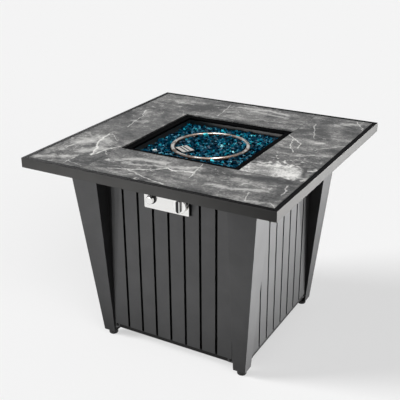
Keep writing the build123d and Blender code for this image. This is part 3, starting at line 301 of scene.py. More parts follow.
# Veins of each tile: line points in metres, half width in metres, strength
VEINS = {
    "tile_front": [
        ([(-0.126, -0.336), (-0.074, -0.316), (0.002, -0.347), (0.066, -0.363)], 0.0035, 0.75),
        ([(-0.073, -0.316), (-0.016, -0.290), (0.015, -0.260)], 0.0044, 0.90),
        ([(0.015, -0.260), (0.043, -0.270), (0.087, -0.254)], 0.0064, 1.20),
        ([(0.084, -0.194), (0.090, -0.253), (0.097, -0.296)], 0.0032, 0.75),
        ([(-0.063, -0.359), (-0.037, -0.328)], 0.0030, 0.55),
        ([(0.175, -0.270), (0.207, -0.261)], 0.0030, 0.50),
        ([(0.340, -0.227), (0.351, -0.285)], 0.0034, 0.70),
        ([(0.345, -0.343), (0.366, -0.362)], 0.0034, 0.60),
        ([(0.278, -0.311), (0.291, -0.359)], 0.0028, 0.60),
    ],
    "tile_left": [
        ([(-0.288, -0.101), (-0.278, -0.168), (-0.246, -0.220), (-0.224, -0.274)], 0.0060, 0.95),
        ([(-0.224, -0.274), (-0.217, -0.224), (-0.192, -0.172)], 0.0036, 0.90),
        ([(-0.217, -0.224), (-0.189, -0.250)], 0.0026, 0.55),
        ([(-0.280, -0.091), (-0.228, -0.142)], 0.0024, 0.50),
        ([(-0.328, 0.160), (-0.302, 0.098), (-0.291, 0.032), (-0.276, -0.018)], 0.0040, 0.70),
        ([(-0.326, -0.282), (-0.323, -0.232), (-0.317, -0.179)], 0.0036, 0.55),
        ([(-0.298, -0.359), (-0.260, -0.338), (-0.203, -0.351)], 0.0030, 0.50),
        ([(-0.255, -0.362), (-0.253, -0.308)], 0.0030, 0.60),
    ],
    "tile_right": [
        ([(0.188, 0.142), (0.214, 0.119), (0.245, 0.085), (0.255, 0.047)], 0.0036, 0.85),
        ([(0.212, 0.119), (0.228, 0.052), (0.255, 0.010)], 0.0030, 0.80),
        ([(0.215, 0.277), (0.266, 0.147)], 0.0030, 0.55),
        ([(0.325, 0.358), (0.360, 0.287)], 0.0034, 0.60),
        ([(0.291, 0.001), (0.366, 0.023)], 0.0034, 0.70),
        ([(0.300, 0.052), (0.366, 0.124)], 0.0034, 0.62),
        ([(0.348, -0.106), (0.362, -0.099)], 0.0060, 0.80),
    ],
    "tile_rear": [
        ([(-0.092, 0.259), (-0.045, 0.284)], 0.0036, 0.60),
        ([(-0.069, 0.362), (0.006, 0.349)], 0.0036, 0.60),
        ([(-0.090, 0.210), (-0.105, 0.344)], 0.0030, 0.60),
        ([(0.060, 0.237), (0.131, 0.240)], 0.0036, 0.50),
        ([(-0.300, 0.300), (-0.220, 0.285)], 0.0036, 0.50),
    ],
}

# Cloudy light patches of each tile: line points, half width, strength
CLOUDS = {
    "tile_front": [
        ([(-0.159, -0.285), (-0.090, -0.240), (-0.009, -0.229)], 0.022, 0.42),
        ([(-0.109, -0.283), (-0.028, -0.266), (0.042, -0.242), (0.092, -0.216)], 0.016, 0.48),
        ([(0.163, -0.308), (0.229, -0.307), (0.300, -0.285)], 0.020, 0.50),
        ([(0.291, -0.356), (0.340, -0.346)], 0.016, 0.40),
    ],
    "tile_left": [
        ([(-0.318, -0.200), (-0.290, -0.150), (-0.240, -0.175)], 0.062, 0.56),
        ([(-0.268, -0.255), (-0.230, -0.215)], 0.040, 0.50),
        ([(-0.355, -0.350), (-0.300, -0.325), (-0.262, -0.302)], 0.020, 0.55),
        ([(-0.300, 0.046), (-0.262, 0.042), (-0.310, 0.140)], 0.024, 0.35),
    ],
    "tile_right": [
        ([(0.196, -0.166), (0.250, -0.146), (0.305, -0.140)], 0.096, 1.60),
        ([(0.285, 0.108), (0.304, 0.118)], 0.012, 0.60),
        ([(0.276, 0.297), (0.340, 0.334)], 0.022, 0.40),
        ([(0.263, -0.021), (0.340, 0.020)], 0.020, 0.30),
    ],
    "tile_rear": [
        ([(-0.070, 0.330), (0.036, 0.338), (0.111, 0.320)], 0.018, 0.50),
        ([(-0.018, 0.311), (0.120, 0.290)], 0.014, 0.40),
        ([(-0.150, 0.320), (-0.090, 0.325)], 0.016, 0.35),
    ],
}

# Dark patches of each tile: line points, half width, strength
SHADES = {
    "tile_front": [
        ([(0.115, -0.245), (0.200, -0.222), (0.300, -0.205)], 0.026, 0.85),
        ([(-0.150, -0.335), (-0.060, -0.300)], 0.018, 0.50),
        ([(0.330, -0.240), (0.350, -0.320)], 0.020, 0.40),
    ],
    "tile_left": [
        ([(-0.243, -0.344), (-0.200, -0.325)], 0.022, 0.70),
        ([(-0.348, 0.231), (-0.300, 0.250), (-0.235, 0.138)], 0.034, 0.60),
    ],
    "tile_right": [
        ([(0.212, 0.200), (0.250, 0.240), (0.280, 0.170)], 0.050, 0.80),
        ([(0.335, -0.090), (0.352, -0.150)], 0.022, 0.90),
    ],
    "tile_rear": [
        ([(-0.299, 0.272), (-0.180, 0.256), (-0.060, 0.259)], 0.020, 0.70),
        ([(0.100, 0.260), (0.180, 0.320)], 0.026, 0.50),
    ],
}

# Where each tile's print is cut from, which way its streaks run, and how much lighter it is
PRINT_CUT = {
    "tile_front": ((0.0, 0.0, 0.0), (7.0, 34.0, 7.0), 0.006),
    "tile_right": ((3.1, 1.7, 0.4), (8.0, 26.0, 8.0), -0.022),
    "tile_rear": ((6.3, 4.2, 0.9), (7.0, 36.0, 7.0), -0.010),
    "tile_left": ((9.4, 2.6, 1.3), (20.0, 13.0, 8.0), -0.018),
}

# Sockets of the node that mixes colours: amount, first colour, second colour, result
MIX_AMOUNT = 0
MIX_FIRST = 6
MIX_SECOND = 7
MIX_RESULT = 2


# Small helpers for shader trees
def put(tree, kind, feeds=None, **settings):
    made = tree.nodes.new(kind)
    for name, value in settings.items():
        setattr(made, name, value)
    for key, value in (feeds or {}).items():
        if isinstance(value, bpy.types.NodeSocket):
            tree.links.new(value, made.inputs[key])
        else:
            made.inputs[key].default_value = value
    return made


def sum_up(tree, operation, first, second):
    return put(tree, "ShaderNodeMath", {0: first, 1: second}, operation=operation).outputs[0]


def absolute(tree, value):
    return put(tree, "ShaderNodeMath", {0: value}, operation="ABSOLUTE").outputs[0]


def clamped(tree, value):
    return put(tree, "ShaderNodeClamp", {"Value": value}).outputs[0]


def vector_sum(tree, operation, first, second):
    made = put(tree, "ShaderNodeVectorMath", {0: first, 1: second}, operation=operation)
    return made.outputs["Value"] if operation == "DOT_PRODUCT" else made.outputs["Vector"]


def pushed_by(tree, push, amount, point):
    made = put(tree, "ShaderNodeVectorMath", {0: push, 1: amount, 2: point}, operation="MULTIPLY_ADD")
    return made.outputs["Vector"]


def ease(tree, value, low, high, start=0.0, end=1.0):
    # A smooth step from start to end, while the value goes from low to high.
    feeds = {"Value": value, "From Min": low, "From Max": high, "To Min": start, "To Max": end}
    made = put(tree, "ShaderNodeMapRange", feeds, interpolation_type="SMOOTHSTEP", clamp=True)
    return made.outputs["Result"]


def noise_field(tree, point, scale, detail, roughness):
    feeds = {"Vector": point, "Scale": scale, "Detail": detail, "Roughness": roughness}
    return put(tree, "ShaderNodeTexNoise", feeds).outputs


def blend_colours(tree, amount, first, second):
    feeds = {MIX_AMOUNT: amount}
    for key, value in ((MIX_FIRST, first), (MIX_SECOND, second)):
        feeds[key] = value if isinstance(value, bpy.types.NodeSocket) else (*value, 1.0)
    return put(tree, "ShaderNodeMix", feeds, data_type="RGBA").outputs[MIX_RESULT]


def new_group(name, inputs, outputs):
    tree = bpy.data.node_groups.new(name, "ShaderNodeTree")
    for label, kind, value in inputs:
        socket = tree.interface.new_socket(label, in_out="INPUT", socket_type=kind)
        socket.default_value = value
    for label in outputs:
        tree.interface.new_socket(label, in_out="OUTPUT", socket_type="NodeSocketFloat")
    return tree, tree.nodes.new("NodeGroupInput").outputs, tree.nodes.new("NodeGroupOutput").inputs


def placed(tree, group, feeds):
    return put(tree, "ShaderNodeGroup", feeds, node_tree=group).outputs


# Shared surface effects
def make_coat_grain():
    tree, given, gives = new_group(
        "coat_grain",
        [("Point", "NodeSocketVector", (0, 0, 0)), ("Grain", "NodeSocketFloat", 900.0),
         ("Cloud", "NodeSocketFloat", 14.0)],
        ["Shade", "Height"],
    )
    fine = noise_field(tree, given["Point"], given["Grain"], *GRAIN_NOISE)["Fac"]
    cloud = noise_field(tree, given["Point"], given["Cloud"], *CLOUD_NOISE)["Fac"]
    both = sum_up(tree, "ADD", fine, cloud)
    tree.links.new(sum_up(tree, "MULTIPLY", both, 0.5), gives["Shade"])
    tree.links.new(fine, gives["Height"])
    return tree


def make_brush_lines():
    tree, given, gives = new_group(
        "brush_lines",
        [("Point", "NodeSocketVector", (0, 0, 0)), ("Stretch", "NodeSocketVector", (20, 900, 900)),
         ("Smudge", "NodeSocketFloat", 18.0)],
        ["Shade", "Height"],
    )
    drawn = vector_sum(tree, "MULTIPLY", given["Point"], given["Stretch"])
    lines = noise_field(tree, drawn, *BRUSH_NOISE)["Fac"]
    smudge = noise_field(tree, given["Point"], given["Smudge"], *SMUDGE_NOISE)["Fac"]
    both = sum_up(tree, "ADD", lines, smudge)
    tree.links.new(sum_up(tree, "MULTIPLY", both, 0.5), gives["Shade"])
    tree.links.new(lines, gives["Height"])
    return tree


def make_vein_line():
    # A soft line from start to end: full on the line, nothing at its half width.
    tree, given, gives = new_group(
        "vein_line",
        [("Point", "NodeSocketVector", (0, 0, 0)), ("Start", "NodeSocketVector", (0, 0, 0)),
         ("End", "NodeSocketVector", (1, 0, 0)), ("Width", "NodeSocketFloat", 0.003),
         ("Ragged", "NodeSocketFloat", 0.5), ("Strength", "NodeSocketFloat", 1.0)],
        ["Mask"],
    )
    along = vector_sum(tree, "SUBTRACT", given["End"], given["Start"])
    reach = vector_sum(tree, "SUBTRACT", given["Point"], given["Start"])
    length = vector_sum(tree, "DOT_PRODUCT", along, along)
    share = sum_up(tree, "DIVIDE", vector_sum(tree, "DOT_PRODUCT", reach, along), length)
    foot = put(tree, "ShaderNodeVectorMath", {0: along, "Scale": clamped(tree, share)}, operation="SCALE")
    off = vector_sum(tree, "SUBTRACT", reach, foot.outputs["Vector"])
    far = put(tree, "ShaderNodeVectorMath", {0: off}, operation="LENGTH").outputs["Value"]
    low, high = RAGGED_RANGE
    wide, thin = RAGGED_SCALE
    uneven = put(tree, "ShaderNodeMapRange", {
        "Value": given["Ragged"], "From Min": low, "From Max": high, "To Min": wide, "To Max": thin})
    measured = sum_up(tree, "MULTIPLY", far, uneven.outputs["Result"])
    mask = ease(tree, measured, given["Width"], 0.0)
    tree.links.new(clamped(tree, sum_up(tree, "MULTIPLY", mask, given["Strength"])), gives["Mask"])
    return tree


def make_stone_ground():
    tree, given, gives = new_group(
        "stone_ground",
        [("Point", "NodeSocketVector", (0, 0, 0)), ("Cut", "NodeSocketVector", (0, 0, 0)),
         ("Stretch", "NodeSocketVector", (8, 30, 8))],
        ["Tone", "Grit", "Ragged", "Threads"],
    )
    spot = vector_sum(tree, "ADD", given["Point"], given["Cut"])
    bend = noise_field(tree, spot, *BEND_NOISE)["Color"]
    warped = pushed_by(tree, bend, (STONE_BEND, STONE_BEND, STONE_BEND), spot)
    drawn = vector_sum(tree, "MULTIPLY", warped, given["Stretch"])
    streak = noise_field(tree, drawn, *STREAK_NOISE)["Fac"]
    broad = noise_field(tree, warped, *BROAD_NOISE)["Fac"]
    mottle = noise_field(tree, warped, *MOTTLE_NOISE)["Fac"]
    soft = sum_up(tree, "MULTIPLY", broad, BROAD_SHARE)
    lined = sum_up(tree, "MULTIPLY", streak, STREAK_SHARE)
    flecked = sum_up(tree, "MULTIPLY", mottle, MOTTLE_SHARE)
    tone = sum_up(tree, "ADD", sum_up(tree, "ADD", soft, lined), flecked)
    crack = noise_field(tree, warped, *CRACK_NOISE)["Fac"]
    line = ease(tree, absolute(tree, sum_up(tree, "SUBTRACT", crack, 0.5)), *CRACK_EDGES)
    threads = sum_up(tree, "MULTIPLY", line, ease(tree, mottle, *CRACK_PATCHES))
    tree.links.new(tone, gives["Tone"])
    tree.links.new(noise_field(tree, spot, *GRIT_NOISE)["Fac"], gives["Grit"])
    tree.links.new(noise_field(tree, spot, *RAGGED_NOISE)["Fac"], gives["Ragged"])
    tree.links.new(threads, gives["Threads"])
    return tree


COAT_GRAIN = make_coat_grain()
BRUSH_LINES = make_brush_lines()
VEIN_LINE = make_vein_line()
STONE_GROUND = make_stone_ground()


# Finishes
def new_finish(name, roughness, metallic, specular):
    finish = bpy.data.materials.new(name)
    finish.use_nodes = True
    tree = finish.node_tree
    shader = tree.nodes["Principled BSDF"]
    shader.inputs["Roughness"].default_value = roughness
    shader.inputs["Metallic"].default_value = metallic
    shader.inputs["Specular IOR Level"].default_value = specular
    point = tree.nodes.new("ShaderNodeTexCoord").outputs["Object"]
    return finish, tree, shader, point


def add_colour(tree, shader, shade, dark, light):
    colour = blend_colours(tree, ease(tree, shade, *SHADE_RANGE), dark, light)
    tree.links.new(colour, shader.inputs["Base Color"])


def add_bump(tree, shader, height, strength, depth):
    bump = put(tree, "ShaderNodeBump", {"Height": height, "Strength": strength, "Distance": depth})
    tree.links.new(bump.outputs["Normal"], shader.inputs["Normal"])


def add_gloss(tree, shader, shade, smooth, rough):
    tree.links.new(ease(tree, shade, *GLOSS_RANGE, smooth, rough), shader.inputs["Roughness"])


def powder_coat(name, dark, light, gloss, specular, grain):
    finish, tree, shader, point = new_finish(name, gloss, metallic=0.0, specular=specular)
    coat = placed(tree, COAT_GRAIN, {"Point": point, "Grain": grain})
    add_colour(tree, shader, coat["Shade"], dark, light)
    smoother, rougher = COAT_GLOSS_SWING
    add_gloss(tree, shader, coat["Shade"], gloss + smoother, gloss + rougher)
    add_bump(tree, shader, coat["Height"], *COAT_BUMP)
    return finish


def brushed_metal(name, dark, light, gloss, stretch, strength):
    finish, tree, shader, point = new_finish(name, gloss, metallic=1.0, specular=0.5)
    lines = placed(tree, BRUSH_LINES, {"Point": point, "Stretch": stretch})
    add_colour(tree, shader, lines["Shade"], dark, light)
    smoother, rougher = METAL_GLOSS_SHARE
    add_gloss(tree, shader, lines["Shade"], gloss * smoother, gloss * rougher)
    add_bump(tree, shader, lines["Height"], strength, FINE_DEPTH)
    return finish


def moulded(name, dark, light, gloss, grain, strength):
    finish, tree, shader, point = new_finish(name, gloss, metallic=0.0, specular=0.4)
    coat = placed(tree, COAT_GRAIN, {"Point": point, "Grain": grain, "Cloud": 40.0})
    add_colour(tree, shader, coat["Shade"], dark, light)
    smoother, rougher = MOULD_GLOSS_SWING
    add_gloss(tree, shader, coat["Shade"], gloss + smoother, gloss + rougher)
    add_bump(tree, shader, coat["Height"], strength, FINE_DEPTH)
    return finish


def wandering_point(tree, point):
    # Veins and clouds are measured from a level point that is pushed about, so they don't run straight.
    wander = noise_field(tree, point, *WANDER_NOISE)["Color"]
    push = vector_sum(tree, "ADD", wander, (-0.5, -0.5, -0.5))
    moved = pushed_by(tree, push, (WANDER, WANDER, 0.0), point)
    return vector_sum(tree, "MULTIPLY", moved, (1.0, 1.0, 0.0))


def vein_sum(tree, point, ragged, lines):
    total = None
    for points, width, strength in lines:
        for start, end in zip(points, points[1:]):
            mask = placed(tree, VEIN_LINE, {
                "Point": point, "Start": (*start, 0.0), "End": (*end, 0.0),
                "Width": width, "Ragged": ragged, "Strength": strength})["Mask"]
            total = mask if total is None else sum_up(tree, "MAXIMUM", total, mask)
    return total


def marble_tile(name):
    finish, tree, shader, point = new_finish(name + "_glaze", roughness=0.42, metallic=0.0, specular=0.22)
    cut, stretch, lift = PRINT_CUT[name]
    stone = placed(tree, STONE_GROUND, {"Point": point, "Cut": cut, "Stretch": stretch})
    grit = ease(tree, stone["Grit"], *GRIT_RANGE, lift - GRIT_SWING, lift + GRIT_SWING)
    tone = sum_up(tree, "ADD", stone["Tone"], grit)
    colour = blend_colours(tree, ease(tree, tone, *TONE_TO_GREY), MARBLE_DARK, MARBLE_GREY)
    colour = blend_colours(tree, ease(tree, tone, *TONE_TO_LIGHT), colour, MARBLE_LIGHT)
    flat = wandering_point(tree, point)
    clouds = vein_sum(tree, flat, stone["Ragged"], CLOUDS[name])
    clouds = sum_up(tree, "MULTIPLY", clouds, ease(tree, tone, *TONE_TO_CLOUD, CLOUD_LEAST))
    colour = blend_colours(tree, clouds, colour, MARBLE_WHITE)
    shades = vein_sum(tree, flat, stone["Ragged"], SHADES[name])
    colour = blend_colours(tree, shades, colour, MARBLE_DARK)
    veins = vein_sum(tree, flat, stone["Ragged"], VEINS[name])
    veins = sum_up(tree, "MAXIMUM", veins, sum_up(tree, "MULTIPLY", stone["Threads"], CRACK_STRENGTH))
    colour = blend_colours(tree, veins, colour, MARBLE_WHITE)
    tree.links.new(colour, shader.inputs["Base Color"])
    add_gloss(tree, shader, stone["Tone"], smooth=0.40, rough=0.52)
    add_bump(tree, shader, stone["Grit"], *STONE_BUMP)
    return finish


def tinted_and_shaded_steel():
    # The lower part of the tube is dark, and the rest is browned in random smudges and most at its far and
    # near stretches along the camera's line of sight, which is painted shade.
    finish, tree, shader, point = new_finish("ring_steel", roughness=0.3, metallic=1.0, specular=0.5)
    lines = placed(tree, BRUSH_LINES, {"Point": point, "Stretch": RING_BRUSH, "Smudge": 26.0})
    height = put(tree, "ShaderNodeSeparateXYZ", {0: point}).outputs["Z"]
    uneven = ease(tree, lines["Shade"], *STREAK_RANGE, -LOWER_DARK_UNEVEN, LOWER_DARK_UNEVEN)
    clear_edge, dark_edge = LOWER_DARK_EDGES
    level = sum_up(tree, "ADD", height, uneven)
    # Darker towards the bottom of the tube
    darker_below = ease(tree, level, RING_HEIGHT + clear_edge, RING_HEIGHT + dark_edge)
    across = absolute(tree, vector_sum(tree, "DOT_PRODUCT", point, SIGHT_LINE_WAY))
    # Painted shade: browner where the ring runs across the camera's line of sight
    sight_shade = ease(tree, sum_up(tree, "ADD", across, lines["Shade"]), *SIGHT_SHADE_RANGE, 0.0, SIGHT_SHADE_MOST)
    smudged = ease(tree, lines["Shade"], *SMUDGE_RANGE, 0.0, SMUDGE_MOST)
    colour = blend_colours(tree, smudged, STEEL, HEAT_AND_SHADE_BROWN)
    colour = blend_colours(tree, sight_shade, colour, HEAT_AND_SHADE_BROWN)
    colour = blend_colours(tree, darker_below, colour, RING_LOWER_DARK)
    tree.links.new(colour, shader.inputs["Base Color"])
    add_gloss(tree, shader, lines["Shade"], smooth=0.34, rough=0.48)
    add_bump(tree, shader, lines["Height"], *FINE_BUMP)
    return finish


def knob_finish():
    # A black grip, with a bright skirt behind it and a bright chrome line down its front that is a painted
    # highlight.
    finish, tree, shader, point = new_finish("knob_black", roughness=0.2, metallic=0.0, specular=0.3)
    coat = placed(tree, COAT_GRAIN, {"Point": point, "Grain": 1600.0, "Cloud": 60.0})
    place = put(tree, "ShaderNodeSeparateXYZ", {0: point}).outputs
    skirt = ease(tree, place["Y"], GRIP_BACK - GRIP_EDGE, GRIP_BACK)
    front = ease(tree, place["Y"], HIGHLIGHT_LINE_FRONT, HIGHLIGHT_LINE_FRONT - GRIP_EDGE)
    off = absolute(tree, sum_up(tree, "SUBTRACT", place["X"], HIGHLIGHT_LINE_X))
    line = sum_up(tree, "MULTIPLY", front, ease(tree, off, HIGHLIGHT_LINE_HALF, HIGHLIGHT_LINE_HALF - HIGHLIGHT_LINE_EDGE))
    bright = sum_up(tree, "MAXIMUM", skirt, line)
    tree.links.new(blend_colours(tree, bright, PLASTIC_BLACK, CHROME), shader.inputs["Base Color"])
    tree.links.new(bright, shader.inputs["Metallic"])
    add_gloss(tree, shader, coat["Shade"], smooth=0.12, rough=0.24)
    add_bump(tree, shader, coat["Height"], *FINE_BUMP)
    return finish


def broken_glass():
    finish, tree, shader, point = new_finish("broken_glass", roughness=0.05, metallic=0.0, specular=0.30)
    shader.inputs["Specular Tint"].default_value = (*GLASS_GLINT, 1.0)
    tint = put(tree, "ShaderNodeAttribute", attribute_name="chip_tint").outputs["Fac"]
    ramp = put(tree, "ShaderNodeValToRGB", {"Fac": tint})
    stops = ramp.color_ramp.elements
    while len(stops) < len(GLASS_STOPS):
        stops.new(0.5)
    for stop, (position, colour) in zip(stops, GLASS_STOPS):
        stop.position = position
        stop.color = (*colour, 1.0)
    streak = noise_field(tree, point, *GLASS_NOISE)["Fac"]
    streaked = ease(tree, streak, *STREAK_RANGE, 0.0, GLASS_DEEP_MOST)
    depth = sum_up(tree, "MULTIPLY", streaked, ease(tree, tint, *CLEAR_TINTS, 1.0, 0.0))
    colour = blend_colours(tree, depth, ramp.outputs["Color"], GLASS_DEEP)
    tree.links.new(colour, shader.inputs["Base Color"])
    add_gloss(tree, shader, streak, smooth=0.03, rough=0.12)
    add_bump(tree, shader, streak, *GLASS_BUMP)
    return finish


# Powder coats: dark, light, gloss, specular, grain
POWDER_COATS = {
    "rim_paint": (RIM_GREY, RIM_GREY_LIGHT, 0.60, 0.02, 900.0),
    "body_paint": (COAT_GREY, COAT_GREY_LIGHT, 0.60, 0.05, 900.0),
    # top_black is painted shade on the rims' top faces
    "top_black": (TOP_BLACK, TOP_BLACK_LIGHT, 0.55, 0.01, 900.0),
    "frame_black": (TOP_BLACK, TOP_BLACK_LIGHT, 0.60, 0.002, 900.0),
    "tray_black": (TRAY_BLACK, TRAY_BLACK_LIGHT, 0.55, 0.10, 900.0),
    # groove_black is painted shade: in the grooves, on the panels' rounded edges and on the control plate's
    # sides
    "groove_black": (PAINTED_SHADE_BLACK, PAINTED_SHADE_BLACK_LIGHT, 0.60, 0.05, 900.0),
    "pan_steel": (PAN_GREY, PAN_GREY_LIGHT, 0.55, 0.25, 500.0),
}

# Brushed, plated and cast metals: dark, light, gloss, brush marks, bump
METALS = {
    "stainless": (STEEL_DARK, STEEL, 0.22, UPRIGHT_BRUSH, 0.1),
    "plated_steel": (ZINC_DARK, ZINC, 0.30, PLATED_GRAIN, 0.1),
    "plate_chrome": (CHROME_DARK, CHROME, 0.07, LEVEL_BRUSH, 0.02),
    "valve_metal": (CAST_GREY_DARK, CAST_GREY, 0.42, CAST_GRAIN, 0.3),
    "brass": (BRASS_DARK, BRASS, 0.26, TURNED_BRUSH, 0.1),
}

# Moulded and fired pieces: dark, light, gloss, grain, bump
MOULDINGS = {
    "white_ceramic": (CERAMIC_DARK, CERAMIC, 0.55, 800.0, 0.15),
    "black_plastic": (PLASTIC_BLACK, PLASTIC_BLACK_LIGHT, 0.42, 1400.0, 0.15),
    "foot_rubber": (RUBBER_BLACK, RUBBER_BLACK_LIGHT, 0.62, 700.0, 0.3),
    "magnet": (MAGNET_GREY, MAGNET_GREY_LIGHT, 0.50, 1400.0, 0.15),
    "battery": (BATTERY_GREY, BATTERY_GREY_LIGHT, 0.35, 1400.0, 0.15),
}

FINISHES = {
    **{name: powder_coat(name, *values) for name, values in POWDER_COATS.items()},
    **{name: brushed_metal(name, *values) for name, values in METALS.items()},
    **{name: moulded(name, *values) for name, values in MOULDINGS.items()},
    "ring_steel": tinted_and_shaded_steel(),
    "knob_plastic": knob_finish(),
    "fire_glass": broken_glass(),
}

TOP_PIECES = (
    "tile_front", "tile_right", "tile_rear", "tile_left", "bowl_frame", "burner_pan", "burner_ring",
    "igniter_shield", "electrode_rod", "electrode_insulator", "flame_probe",
)
TRAY_PIECES = ("tile_ledge_bars", "base_tray", "tray_screws", "tank_collar")
FINE_EDGED = ("bowl_frame", "control_plate", "base_tray")
SECOND_SLOT = 1
# Least share of a face's normal that counts as facing up, to the front and to a panel's inside
FACES_UP = 0.7
FACES_FRONT = 0.6
FACES_BACK = 0.5


# Finishes on the pieces
def dress(name, finish):
    slots = nodes[name].data.materials
    slots.clear()
    slots.append(finish)


def dress_nodes():
    for part in frame["record"]["subparts"]:
        if part["node"] in VEINS:
            dress(part["node"], marble_tile(part["node"]))
        else:
            dress(part["node"], FINISHES[part["material_slot"]])
    dress("bowl_frame", FINISHES["frame_black"])
    for name in TRAY_PIECES:
        dress(name, FINISHES["tray_black"])
    dress("burner_ring", FINISHES["ring_steel"])
    # Painted shade: the rims' top faces are near black
    for side in ("front", "right", "rear", "left"):
        paint_rim_top_shade(nodes["rim_" + side])
    # Painted shade: the control plate's sides are near black
    paint_plate_side_shade(nodes["control_plate"])
    # Painted shade: the walls and floor of the panels' grooves are near black
    for name, (face_axis, face_side) in PANEL_FACES.items():
        paint_groove_shade(nodes[name], face_axis, face_side)


# Painted shade: faces looking up take the near-black second finish, darker than the rims' grey sides
def paint_rim_top_shade(rim):
    rim.data.materials.append(FINISHES["top_black"])
    for face in rim.data.polygons:
        if face.normal.z > FACES_UP:
            face.material_index = SECOND_SLOT


# Painted shade: every face of the plate but its front takes the near-black second finish
def paint_plate_side_shade(plate):
    plate.data.materials.append(FINISHES["groove_black"])
    for face in plate.data.polygons:
        if face.normal.y > -FACES_FRONT:
            face.material_index = SECOND_SLOT


# Painted shade: groove faces that look outwards take the near-black second finish
def paint_groove_shade(panel, face_axis, face_side):
    panel.data.materials.append(FINISHES["groove_black"])
    for face in panel.data.polygons:
        depth = PANEL_FACE - face_side * face.center[face_axis]
        along = face.center[1 - face_axis]
        off = abs(along - round(along / GROOVE_PITCH) * GROOVE_PITCH)
        outward = face_side * face.normal[face_axis]
        if GROOVE_SKIN < depth < GROOVE_DEPTH and off < GROOVE_HALF and outward > -FACES_BACK:
            face.material_index = SECOND_SLOT


def round_edges(name, width, slot=-1):
    piece = nodes[name]
    weld = piece.modifiers.new("close_seams", "WELD")
    weld.merge_threshold = SEAM_GAP
    bevel = piece.modifiers.new("soft_edges", "BEVEL")
    bevel.width = width
    bevel.material = slot
    bevel.segments = 2
    bevel.limit_method = "ANGLE"
    bevel.angle_limit = SHARP_ANGLE
    piece.modifiers.new("even_shading", "WEIGHTED_NORMAL").weight = EVEN_WEIGHT


def soften_nodes():
    for name in nodes:
        if name.startswith(("rim_", "leg_")):
            round_edges(name, FOLD_ROUND)
        elif name in PANEL_FACES:
            # The panels' rounded edges take the near-black second slot: painted shade that widens the
            # grooves and outlines the edges
            round_edges(name, PANEL_ROUND, slot=SECOND_SLOT)
        elif name in VEINS:
            round_edges(name, TILE_ROUND)
        elif name in FINE_EDGED:
            round_edges(name, FINE_ROUND)


# Broken glass in the pan
def chip_shape(rng, corners, stretch):
    mesh = bmesh.new()
    for corner in range(corners):
        way = Vector((rng.gauss(0, 1), rng.gauss(0, 1), rng.gauss(0, 1))).normalized()
        reach = rng.uniform(*CHIP_REACH)
        mesh.verts.new([way[axis] * stretch[axis] * reach for axis in range(3)])
    bmesh.ops.convex_hull(mesh, input=mesh.verts)
    loose = [vertex for vertex in mesh.verts if not vertex.link_faces]
    bmesh.ops.delete(mesh, geom=loose, context="VERTS")
    mesh.verts.index_update()
    points = [vertex.co.copy() for vertex in mesh.verts]
    faces = [[vertex.index for vertex in face.verts] for face in mesh.faces]
    mesh.free()
    return points, faces


def chip_shapes(rng):
    shapes = []
    for count in range(CHIP_SHAPES):
        stretch = [rng.uniform(least, most) for least, most in CHIP_STRETCHES]
        shapes.append(chip_shape(rng, rng.randint(*CHIP_CORNERS), stretch))
    return shapes


def glass_height(x, y):
    swell = noise.noise(Vector((x * SWELL_SCALE, y * SWELL_SCALE, SWELL_SLICE)))
    wall = max(abs(x), abs(y)) / GLASS_HALF
    near_wall = max(0.0, wall - (1.0 - WALL_BAND))
    return GLASS_LEVEL + SWELL_HEIGHT * swell - WALL_DROP * near_wall / WALL_BAND


def chip_fits(x, y, z, size):
    ring_gap = math.hypot(math.hypot(x, y) - RING_RADIUS, z - RING_HEIGHT)
    if ring_gap < RING_TUBE + size * RING_CLEAR:
        return False
    out = x * math.cos(SHIELD_BEARING) + y * math.sin(SHIELD_BEARING)
    side = y * math.cos(SHIELD_BEARING) - x * math.sin(SHIELD_BEARING)
    along_shield = SHIELD_NEAR - size < out < SHIELD_FAR + size * SHIELD_END_CLEAR
    by_shield = along_shield and abs(side) < SHIELD_HALF + size * SHIELD_SIDE_CLEAR
    return not by_shield or z < GLASS_LEVEL - SHIELD_FOOT_DROP


def chip_places(rng):
    steps = int(GLASS_HALF / CHIP_PITCH)
    for lift, left_out in CHIP_LAYERS:
        for row in range(-steps, steps + 1):
            for column in range(-steps, steps + 1):
                if left_out and rng.random() < left_out:
                    continue
                x = (column + rng.uniform(-0.5, 0.5)) * CHIP_PITCH
                y = (row + rng.uniform(-0.5, 0.5)) * CHIP_PITCH
                size = rng.uniform(*CHIP_SIZES)
                edge = GLASS_HALF - size
                x = max(-edge, min(edge, x))
                y = max(-edge, min(edge, y))
                z = glass_height(x, y) + lift + rng.uniform(-CHIP_BOB, CHIP_BOB)
                if chip_fits(x, y, z, size):
                    yield x, y, z, size


def chip_turn(rng):
    spin = Matrix.Rotation(rng.uniform(0, math.tau), 3, "Z")
    nod = Matrix.Rotation(rng.gauss(0, CHIP_TILT), 3, "X")
    return spin @ nod @ Matrix.Rotation(rng.gauss(0, CHIP_TILT), 3, "Y")


def chip_tint(rng):
    # A few chips are pale: painted glints
    if rng.random() < GLINT_SHARE:
        return rng.uniform(*GLINT_TINTS)
    return rng.betavariate(TINT_GATHER, TINT_GATHER) * TINT_MOST


def add_chip(bed, shape, turn, size, place, tint):
    points, faces, tints = bed
    shape_points, shape_faces = shape
    first = len(points)
    points += [turn @ point * size + place for point in shape_points]
    faces += [[first + index for index in face] for face in shape_faces]
    tints += [tint] * len(shape_faces)


